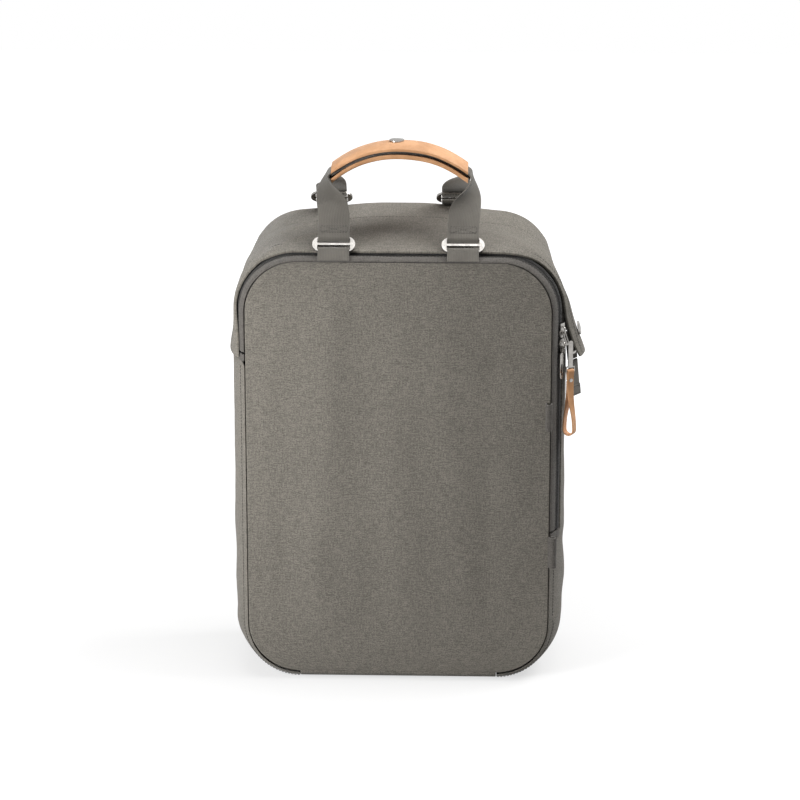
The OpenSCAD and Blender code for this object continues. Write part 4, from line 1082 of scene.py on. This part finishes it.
def make_strap(sx, side):
    body = side + "_strap"
    name = "padded_strap_" + side
    path = spline([(x, PAD_TOP_Y + y, z, w) for x, y, z, w in PAD_PATH], 6)
    places = [Vector(p[:3]) for p in path]

    def out_of(i):
        """The strap's direction at a place and the way out of its face."""
        along = heading(places, i).normalized()
        return along, Vector((1, 0, 0)).cross(along).normalized()

    def place(i, f, depth):
        along, normal = out_of(i)
        rise = (PAD_T / 2 - 1.6) * (0.42 if abs(f) == 1 else 0.8 if abs(f) > 0.8 else 1)
        p = places[i] + along.cross(normal) * (f * (PAD_W / 2 - 0.8) * path[i][3]) \
            + normal * (rise * (1 - 2 * depth))
        return Vector((sx * p.x, p.y, p.z))

    obj = cloth_from(name, range(len(path)), PAD_SHARES, place, BACK_FABRIC, soft=False)
    simulate(obj, 3.0, 1.5, voxel=4)
    for v in obj.data.vertices:
        p = v.co / MM
        x, y, z, w = min(path, key=lambda c: abs(c[2] - p.z) + 0.3 * abs(sx * c[0] - p.x))
        seam = bump(PAD_W / 2 * w - abs(p.x - sx * x) * 0.985, 5.5, 1.8)
        v.co.y += 0.45 * MM * seam * math.copysign(1, y - p.y)
        v.co.y += 0.25 * MM * ripple(*p, 14, 3.0) * (1 - seam)
    cushion(obj, "shoulder_strap_" + side, body)

    tape = []                    # sewn along the outer face
    for i in range(3, len(path) - 2):
        normal = out_of(i)[1]
        spot = places[i] + normal * math.copysign(PAD_T / 2 + 0.9, normal.y)
        tape.append((sx * spot.x, spot.y, spot.z, 0))
    finish(ribbon(name + "_band", tape, LOW_W * 0.8, 1.4, WEBBING, crown=0.15), "webbing", body)

    before, end = (Vector((x, PAD_TOP_Y + y, z)) for x, y, z, w in PAD_PATH[-2:])
    way = (end - before).normalized()
    start = end + way * 2.5 - Vector((0, LOCK_BACK + GAP + WEB_T / 2, 0))
    goal = Vector((117, ANCHOR_Y + WEB_T / 2, 46))
    past = start + way * 28
    route = [start, past]
    route += [Vector((mix(start.x, goal.x, f), mix(start.y, goal.y, g), z))
              for f, g, z in ((0.55, 0.55, 96), (0.85, 0.9, 68))]
    route += [goal + Vector((0, 0.1, 12)), goal]
    route = spline([(sx * p.x, p.y, p.z, 0) for p in route], 7)
    web = ribbon("adjuster_web_" + side, route, LOW_W, WEB_T, WEBBING, crown=0.1)
    finish(web, "webbing", None, "strap_webbing_" + side)
    ends = ((sx * p.x * MM, p.y * MM, p.z * MM) for p in (goal + Vector((0, 0, 12)), past))
    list(ends)
    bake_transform(web)


def sewn_patch(name, corners, thick, node, thread):
    """A flat sewn piece of fabric on the back with its stitched border."""
    n = 14
    a, b, c, d = corners

    def place(i, j, depth):
        f, g = i / n, j / n
        x, z = (mix(mix(a[k], d[k], f), mix(b[k], c[k], f), g) for k in (0, 1))
        rise = thick + 0.35 * ease(min(f, 1 - f, g, 1 - g) * 4) + 0.25 * ripple(x, 0, z, 14)
        return Vector((x, YOKE_Y + (0.05 if depth else rise), z))

    obj = cloth_from(name, range(n + 1), range(n + 1), place, BACK_FABRIC)
    finish(obj, "back_fabric", "pack", node)
    middle = [sum(p[k] for p in corners) / 4 for k in (0, 1)]
    inset = [[v + clamp(m - v, -3, 3) for v, m in zip(p, middle)] for p in (*corners, corners[0])]
    loop = [Vector((x, YOKE_Y + thick + 0.3, z)) for x, z in inset]
    for p, q in zip(loop, loop[1:]):
        thread.line([p.lerp(q, k / 12) for k in range(13)], [Vector((0, 1, 0))] * 13)


def make_patches(thread):
    z = node_box("strap_yoke")[1][2]
    sewn_patch("yoke_cloth", ((-72, z), (72, z), (66, z - 24), (-66, z - 24)), 1.9, "strap_yoke",
               thread)
    for sx, side, _ in SIDES:
        corners = ((sx * 144, 34), (sx * 144, 62), (sx * 104, 60), (sx * 104, 40))
        sewn_patch("anchor_cloth_" + side, corners, 1.5, "lower_anchor_" + side, thread)


# ---- Small fabric: folded loops in the right seam ----

LOOP_OUT = 8
LOOP_T = 1.4
LOOP_R = 2.5


def make_side_loops():
    section = [(0, -LOOP_R), (2.4, -LOOP_R)]
    section += [(LOOP_OUT - 3.2 + LOOP_R * sind(a), -LOOP_R * cosd(a)) for a in range(0, 181, 20)]
    section += [(2.4, LOOP_R), (0, LOOP_R)]
    centres = [Vector((x, y, 0)) for x, y in section]
    for name, node, height, lean, inset, out, body in (
            ("upper_seam_loop", "side_loop_upper", 27, -88, 2.2, -0.6, "front_flap"),
            ("lower_seam_loop", "side_loop_lower", 31, -40, 0, 0.14, "pack")):
        turn = Matrix.Rotation(math.radians(lean), 3, "Z")
        origin = Vector((HALF_W - inset, Y_FRONT, node_box(node)[0][2]))

        def place(z, i, depth):
            p, along = centres[i], heading(centres, i)
            normal = Vector((along.y, -along.x, 0)).normalized()
            q = p + normal * (LOOP_T * (0.5 - depth) + 0.25 * ripple(p.x, p.y, z, 9, 2.0))
            return origin + turn @ Vector((q.x + out, q.y, z))

        zs = [0.1, 0.9] + spread(3, height - 3, 3) + [height - 0.9, height - 0.1]
        obj = cloth_from(name, zs, range(len(centres)), place, TRIM)
        finish(obj, "trim_canvas", body, node)


# ---- Handles: tabs, rings, webbing legs and the folded leather grip ----

RING_SPAN = 122
REAR_SHIFT = 7                   # the rear rings stand this far to the left
RING_H = 16
RING_T = 2.2
RING_LEAN = 47
WRAP_R = RING_T * 0.71 + 0.3 + WEB_T / 2
FRONT_BAR = Vector((-RING_SPAN / 2, Y_FRONT + 8.5, SEAM_HI + 8.5))
REAR_BAR = Vector((-RING_SPAN / 2, Y_BACK - 4, SEAM_HI + TOP_RISE + 5))
FRONT_TOP = RING_H - RING_T      # from a ring's lower bar to its upper one
GRIP_Z = 510.5
GRIP_LEN = 130
GRIP_DROP = 22
GRIP_W = 38
LEATHER_T = 2.5
REAR_WEB_Z = LEATHER_T + 0.9 + WEB_T / 2
FRONT_WEB_Z = REAR_WEB_Z + WEB_T + GAP
TUCK = 12                        # length of webbing sewn back over the front rings
REAR_TUCK = 5


def off_bar(along, out):
    c, s = cosd(RING_LEAN), sind(RING_LEAN)
    return Vector((0, along * c - out * s, along * s + out * c))


def front_at(along, out):
    return FRONT_BAR + off_bar(along, out)


def rear_at(along, out):
    p = off_bar(along, out)
    return REAR_BAR + Vector((0, -p.y, p.z))


def arc_points(place, centre, radius, angles):
    return [place(centre + radius * cosd(a), radius * sind(a)) for a in angles]


def arch(x):
    return GRIP_Z - GRIP_DROP * (abs(x) / (GRIP_LEN / 2)) ** 2.2


def leg(start, end, out, way, turn_at, n=21):
    """A leg of a handle makes a quarter turn on its way up from its ring to the grip's end."""
    points = []
    for i in range(1, n + 1):
        f = i / n
        points.append([mix(start.x, end.x, f ** 1.6) - out * math.sin(math.pi * f * f),
                       mix(start.y, end.y, f), mix(start.z, end.z, f + 0.22 * f * (1 - f)),
                       way * 90 * ease((f - turn_at) / 0.8), f])
    return points


def handle_path(place, end, out, way, lift, shift, tuck, turns):
    """A handle's path, with the shares of the way at which its two legs start to turn."""
    foot = place(FRONT_TOP + tuck, WRAP_R + 0.3)
    side = [place(FRONT_TOP + tuck, -WRAP_R), place(FRONT_TOP + tuck * 0.5, -WRAP_R)]
    side += arc_points(place, FRONT_TOP, WRAP_R, range(270, 89, -15))
    side += [place(FRONT_TOP + tuck * 0.5, WRAP_R), foot]
    left, right = ([[*p, 0, 0] for p in side] + leg(foot, end, out, way, turn_at)
                   for turn_at in turns)
    rise = [[x - shift * (1 - ease(f * 1.25)), y, z, a] for x, y, z, a, f in left]
    over = [[x, 0, arch(x) + lift, way * 90]
            for x in spread(-GRIP_LEN / 2 + 3, GRIP_LEN / 2 - 3, 5)]
    fall = [[-x - shift * (1 - ease(f * 1.25)), y, z, 2 * way * 90 - a]
            for x, y, z, a, f in reversed(right)]
    return rise + over + fall


def box_stitch(thread, spot, face, tuck):
    """The sewn box with its cross that closes the webbing over a ring's upper bar."""
    lift = (WRAP_R + WEB_T / 2 + 0.25) * face
    low, high = FRONT_TOP + min(4.4, tuck - 1.8), FRONT_TOP + tuck - 0.8
    half = WEB_W / 2 - 2.6
    normal = (spot(0, 0, face) - spot(0, 0, 0)).normalized()
    corners = [(-half, low), (half, low), (half, high), (-half, high)]
    runs = list(zip(corners, corners[1:] + corners[:1]))
    if tuck == TUCK:
        runs += [(corners[0], corners[2]), (corners[1], corners[3])]
    for (x0, a0), (x1, a1) in runs:
        thread.line([spot(mix(x0, x1, k / 10), mix(a0, a1, k / 10), lift) for k in range(11)],
                    [normal] * 11, pitch=2.3, thick=0.5)


def make_handles(front_thread, rear_thread):
    x, z = GRIP_LEN / 2, arch(GRIP_LEN / 2)
    front_end = Vector((-x - 3.2, -1.6, z + FRONT_WEB_Z - 0.8))
    rear_end = Vector((-x - 1.4, 1.2, z + REAR_WEB_Z - 0.5))
    for side, body, thread, place, end, out, way, lift, shift, tuck, turns in (
            ("front", "front_flap", front_thread, front_at, front_end, 2.4, -1, FRONT_WEB_Z, 0,
             TUCK, (0.24, 0.14)),
            ("rear", "pack", rear_thread, rear_at, rear_end, 1.6, 1, REAR_WEB_Z, REAR_SHIFT,
             REAR_TUCK, (-0.02, -0.02))):
        path = handle_path(place, end, out, way, lift, shift, tuck, turns)
        obj = ribbon(side + "_webbing", path, WEB_W - 0.2, WEB_T, WEBBING, crown=0.12)
        finish(obj, "webbing", body, side + "_handle")
        for sx in (-1, 1):
            def spot(x, along, lift):
                p = place(along, lift)
                return Vector((x - sx * p.x - shift, p.y, p.z))

            for face in (1, -1):
                box_stitch(thread, spot, face, tuck)


def make_tabs():
    def beside(y, z):
        return Vector((-RING_SPAN / 2, y, SEAM_HI + z))

    front = [beside(Y_FRONT - 0.9, 1.2), beside(Y_FRONT - 0.2, 2.1)]
    front += arc_points(front_at, 0, WRAP_R, range(90, -91, -15))
    front += [beside(Y_FRONT + 1.9, 1.6), beside(Y_FRONT + 1.0, 0.8)]
    rear = [beside(Y_BACK + 4.4, TOP_RISE + z) for z in (-12, -7, -1)]
    rear += arc_points(rear_at, 0, WRAP_R, range(90, -61, -15))
    for name, points, body, shift in (("front", front, "front_flap", 0),
                                      ("rear", rear, "pack", REAR_SHIFT)):
        for side, sx in (("left", 1), ("right", -1)):
            path = [[sx * p.x - shift, p.y, p.z, 0] for p in points]
            obj = ribbon("%s_ring_tab_%s" % (name, side), path, WEB_W - 0.2, WEB_T, WEBBING,
                         crown=0.1)
            finish(obj, "webbing", body, "%s_tab_%s" % (name, side))


FOLD_Z = 5.6
FOLD_IN = 1 - LEATHER_T / (GRIP_W / 2)
# Each row: the outer point and the inner one, y as a share of half the width, z in millimetres
LOWER_PROFILE = ((-1, 4.2, -FOLD_IN, 4.2), (-0.97, 1.1, 0.01 - FOLD_IN, 2.4),
                 (-0.86, -0.7, -0.76, 1.7), (-0.6, -1.1, -0.58, 1.5), (0, -0.6, 0, 2.1),
                 (0.6, 0, 0.6, 2.5), (0.86, 0.7, 0.86, 3.0), (1, FOLD_Z, FOLD_IN, FOLD_Z))
UPPER_PROFILE = ((-1, 9.6, -1, 7.1), (-0.6, 12.6, -0.6, 10.1), (0, 13.6, 0, 11.1),
                 (0.6, 12.2, 0.6, 9.7), (0.88, 9.2, 0.88, 6.7),
                 (1, FOLD_Z + 0.3, FOLD_IN, FOLD_Z + 0.3))


def make_grip():
    end, half = GRIP_LEN / 2, GRIP_W / 2
    xs = [-end, -end + 0.5] + spread(-end + 3, end - 3, 4) + [end - 0.5, end]
    for part, profile, body in (("lower", LOWER_PROFILE, "pack"),
                                ("upper", UPPER_PROFILE, "grip_flap")):
        lines = [spline([(c[k] * half, c[k + 1]) for c in profile], 5) for k in (0, 2)]

        def place(x, i, depth):
            y, z = lines[depth][i]
            skin_y = lines[0][i][0]
            wave = 0.35 * ripple(x, skin_y, 0, 26, 4.0)
            if part == "lower":
                wave -= (1.8 if x < 0 else 1.0) * abs(x / end) ** 4 * ease((4 - skin_y) / 16)
            return Vector((x, y, arch(x) + z + wave))

        obj = cloth_from("leather_%s_half" % part, xs, range(len(lines[0])), place, LEATHER)
        finish(obj, "leather", body if part == "lower" else None, "grip_" + part)
        if part == "upper":
            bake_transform(obj)


# ---- Metal: CAD nodes keep their form and get rounded edges and their finish ----


def dress(material, bevel, segments, *nodes):
    """Rigid CAD nodes keep their shape: a modifier rounds their rims, and they get a material."""
    for node in nodes:
        obj = bpy.data.objects[node]
        fill_slots(obj, material)
        modifier = obj.modifiers.new("rounded_rims", "BEVEL")
        modifier.width = bevel * MM
        modifier.segments = segments
        modifier.limit_method = "ANGLE"
        modifier.angle_limit = math.radians(35)


def make_metal():
    dress(STEEL, 0.85, 4, "front_ring_left", "front_ring_right", "rear_ring_left",
          "rear_ring_right")
    dress(STEEL, 0.28, 3, "slider_upper", "slider_lower", "pull_upper", "pull_lower")
    dress(STEEL, 0.3, 3, "grip_snap_cap", "hood_snap_cap", "snap_strap_stud",
          "snap_strap_socket", "leather_pull_rivet", "grip_snap_stud")
    dress(PLASTIC, 0.45, 3, "ladder_lock_left", "ladder_lock_right")


# ---- Leather loop of the upper pull ----

ZIP_TURN = 53
LOOP_NECK = 7                    # width of the leather strip
LOOP_SKIN = 1.3
LOOP_OPEN = 5.2                  # half of the loop's opening at its low end
LOOP_JOIN = 5                    # its halves meet this far below the eye's bar
LOOP_PART = 14                   # and part again here
EYE_BEND = 0.65 * 1.42 + 0.3 + LOOP_SKIN / 2     # radius round the eye's bar
PULL_Y = -1.9 - 1.2 - 1.2 - 12 * sind(24)        # the leaning plate's eye before the zip
LOOP_TURN = (-26, 9)             # it hangs from the turned plate and turns back as it opens
UPPER_SHIFT = 4.8


def make_leather_loop():
    low, high = node_box("leather_pull")
    flat = LOOP_SKIN / 2 + 0.1
    bar_z = high[2] - EYE_BEND - LOOP_SKIN / 2
    loop_low = bar_z - low[2] - LOOP_OPEN - LOOP_SKIN / 2
    turn = Matrix.Rotation(math.radians(ZIP_TURN), 3, "Z")
    zip_x = wall((CORNER_X, 0, 0), ZIP_Q, (COIL_TOP + COIL_LOW) / 2).x
    origin = Vector((zip_x, Y_FRONT + ZIP_Q, 0)) + turn @ Vector((UPPER_SHIFT, PULL_Y, 0))

    def half(u):
        if u < LOOP_JOIN:
            return mix(EYE_BEND, flat, ease(u / LOOP_JOIN))
        return mix(flat, LOOP_OPEN, ease((u - LOOP_PART) / (loop_low - LOOP_PART)))

    def row(u, off, up=0):
        a = mix(*LOOP_TURN, ease((u - LOOP_PART) / (loop_low - LOOP_PART - 10)))
        spot = turn @ Vector((-off * sind(a), off * cosd(a), 0))
        return [origin.x + spot.x, origin.y + spot.y, bar_z - u + up, ZIP_TURN + a]

    us = spread(2.5, loop_low - 2.5, 2.2)
    path = [row(u, half(u)) for u in (9.0, 6.8, 5, 2.5)]
    path += [row(0, EYE_BEND * cosd(a), EYE_BEND * sind(a)) for a in range(0, 181, 20)]
    path += [row(u, -half(u)) for u in us]
    path += [row(loop_low, LOOP_OPEN * cosd(a), LOOP_OPEN * sind(a)) for a in range(180, 361, 15)]
    path += [row(u, half(u)) for u in reversed(us) if u > 9.2] + [row(9.4, flat)]
    obj = ribbon("leather_pull_loop", path, LOOP_NECK, LOOP_SKIN, LEATHER, columns=6)
    finish(obj, "leather", "leather_loop", "leather_pull")


# ---- Snap strap under the hood's free corner ----

STRAP_TURN = 55
STRAP_LEAN = 0.16
STRAP_W = 15
STRAP_T = 2
STRAP_LEN = 37
STRAP_FOLD = Vector((HALF_W + 20, Y_FRONT + 25.3, HOOD_Z - 5))


def make_snap_strap(thread):
    top = STRAP_FOLD
    side = Vector((cosd(STRAP_TURN), sind(STRAP_TURN), 0))
    front = Vector((side.y, -side.x, 0))
    fold = STRAP_T / 2 + 0.45

    def hang(drop, out=0.0):
        """A place on the loose end, which leans to the right."""
        return top - Vector((0, 0, drop)) + side * (drop * STRAP_LEAN) + front * out

    root = spline([(top.x + x, top.y, top.z + z, STRAP_TURN)
                   for x, z in ((-3.4, 29), (-1.8, 16), (0, 0.3))], 5)
    tail = [(*hang(f), STRAP_TURN) for f in spread(0.6, STRAP_LEN, 2.4)]
    hem = [(*hang(STRAP_LEN - z, fold), STRAP_TURN) for z in spread(0.15, 11, 1.8)]
    for name, path, slim, thick, body, nodes in (
            ("upper", root, 0.2, STRAP_T, "pack", ["snap_strap_root"]),
            ("lower", tail, 0.2, STRAP_T, "snap_strap", ["snap_strap_end"]),
            ("hem", hem, 0.5, 0.8, "snap_strap", [])):
        obj = ribbon("snap_strap_" + name, path, STRAP_W - slim, thick, WEBBING, columns=6)
        finish(obj, "webbing", body, *nodes)
    for z in (1.8, 9.4):
        line = [hang(STRAP_LEN - z, fold + 0.5) + side * f for f in spread(-6, 6, 1.5)]
        thread.line(line, [front] * len(line), pitch=2.2)


# ---- Seams sewn over the cloth ----


def wall_line(thread, path, q, e, shift=None, folds=rumple):
    points, ups = ([draped(s, q, e + rise, shift, folds) for s in path] for rise in (0, 1))
    thread.line(points, [(up - p).normalized() for p, up in zip(points, ups)])


def make_seams(pack, flap):
    hood_path = stations(HOOD_Z + 2, HOOD_Z + 2)
    wall_line(pack, hood_path, HOOD_Q + 5.5, HOOD_OUT, flare, hood_folds)
    wall_line(pack, hood_path, HOOD_SEAM_Q, HOOD_OUT - 0.5, flare, hood_folds)
    wall_line(flap, stations(ZIP_LEFT_Z + 3, ZIP_RIGHT_Z + 3), STRIP_W - 1.9, 0.62,
              folds=no_folds)
    for sx, _, z_zip in SIDES:
        wall_line(pack, side_stations(sx, z_zip - 12), 6.5, 0.0)
        wall_line(pack, side_stations(sx, HOOD_Z - 6), DEPTH - 9, 0.0)


# ---- Camera, light and floor ----

AIM = Vector((0, 0, 0.266))
ELEVATION = 17.5
AZIMUTH = 1.7
DISTANCE = 3.2
LENS = 148
WORLD_LIGHT = 0.07
FLOOR_TONE = (0.36, 0.36, 0.36, 1)
FLOOR_GLOW = (0.64, 1.0)         # added to the lit floor, near the bag and away from it, so that
GLOW_REACH = (0.3, 1.0)          # only the shadow is grey; between these distances in metres
FLOOR_R = 3.0
FLOOR_DROP = 0.0002
# Each lamp: name, place, aim, size and power
LAMPS = (("top_softbox", (0.1, 0.1, 2.6), (0, 0, 0.2), (2.2, 1.8), 34),
         ("left_softbox", (-0.64, -0.62, 0.42), (0, 0, 0.27), (0.3, 0.5), 7.6),
         ("right_softbox", (1.1, 0.2, 1.5), (0, 0, 0.4), (0.8, 0.8), 20))


def stand(name, data, place, aim):
    """An object that looks from its place to its aim."""
    obj = bpy.data.objects.new(name, data)
    bpy.context.scene.collection.objects.link(obj)
    obj.location = place
    obj.rotation_euler = (Vector(aim) - Vector(place)).to_track_quat("-Z", "Y").to_euler()
    return obj


def make_camera():
    data = bpy.data.cameras.new("camera")
    data.lens = LENS
    away = Vector((sind(AZIMUTH) * cosd(ELEVATION), -cosd(AZIMUTH) * cosd(ELEVATION),
                   sind(ELEVATION)))
    bpy.context.scene.camera = stand("camera", data, AIM + away * DISTANCE, AIM)


def make_stage():
    scene = bpy.context.scene
    scene.view_settings.view_transform = "Standard"
    scene.world = bpy.data.worlds.new("studio")
    scene.world.use_nodes = True
    sky = Nodes(scene.world.node_tree)
    base = sky.tree.nodes["Background"]
    base.inputs["Color"].default_value = (1, 1, 1, 1)
    base.inputs["Strength"].default_value = WORLD_LIGHT
    sky.seen_as(base.outputs[0], sky.add("Background", {"Color": (1, 1, 1, 1)}), "World Output")

    r = FLOOR_R
    mesh = bpy.data.meshes.new("floor")
    mesh.from_pydata([(-r, -r, 0), (r, -r, 0), (r, r, 0), (-r, r, 0)], [], [(0, 1, 2, 3)])
    floor = bpy.data.objects.new("floor", mesh)
    scene.collection.objects.link(floor)
    floor.location.z = -FLOOR_DROP
    s = Shader("floor_white", 0.9, specular=0.1)
    s.bsdf.inputs["Base Color"].default_value = FLOOR_TONE
    away = s.add("VectorMath", {0: s.add("NewGeometry", {}, "Position")}, "Value",
                 operation="LENGTH")
    names = ("Value", "From Min", "From Max", "To Min", "To Max")
    strength = s.add("MapRange", dict(zip(names, (away, *GLOW_REACH, *FLOOR_GLOW))))
    glow = s.add("Emission", {"Strength": strength})
    plain = s.bsdf.outputs[0]
    s.seen_as(plain, s.add("AddShader", {0: plain, 1: glow}), "Material Output")
    mesh.materials.append(s.material)

    for name, place, aim, size, power in LAMPS:
        data = bpy.data.lights.new(name, "AREA")
        data.shape = "RECTANGLE"
        data.size, data.size_y = size
        data.energy = power
        stand(name, data, place, aim).visible_camera = False


# ---- Build ----

make_camera()
make_stage()
pack_thread = Thread("pack_stitches", "pack")
flap_thread = Thread("flap_stitches", "front_flap")
strap_thread = Thread("snap_strap_stitches", "snap_strap")
make_front()
make_zip()
make_hood()
make_walls()
make_bottom()
make_linings()
open_pocket("sleeve_cloth", "laptop_sleeve", 4.2)
open_pocket("pocket_cloth", "inner_pocket", 1.3)
make_back()
for strap_sx, strap_side, _ in SIDES:
    make_strap(strap_sx, strap_side)
make_patches(pack_thread)
make_side_loops()
make_handles(flap_thread, pack_thread)
make_tabs()
make_grip()
make_metal()
make_leather_loop()
make_snap_strap(strap_thread)
make_seams(pack_thread, flap_thread)
for made in (pack_thread, flap_thread, strap_thread):
    made.make()
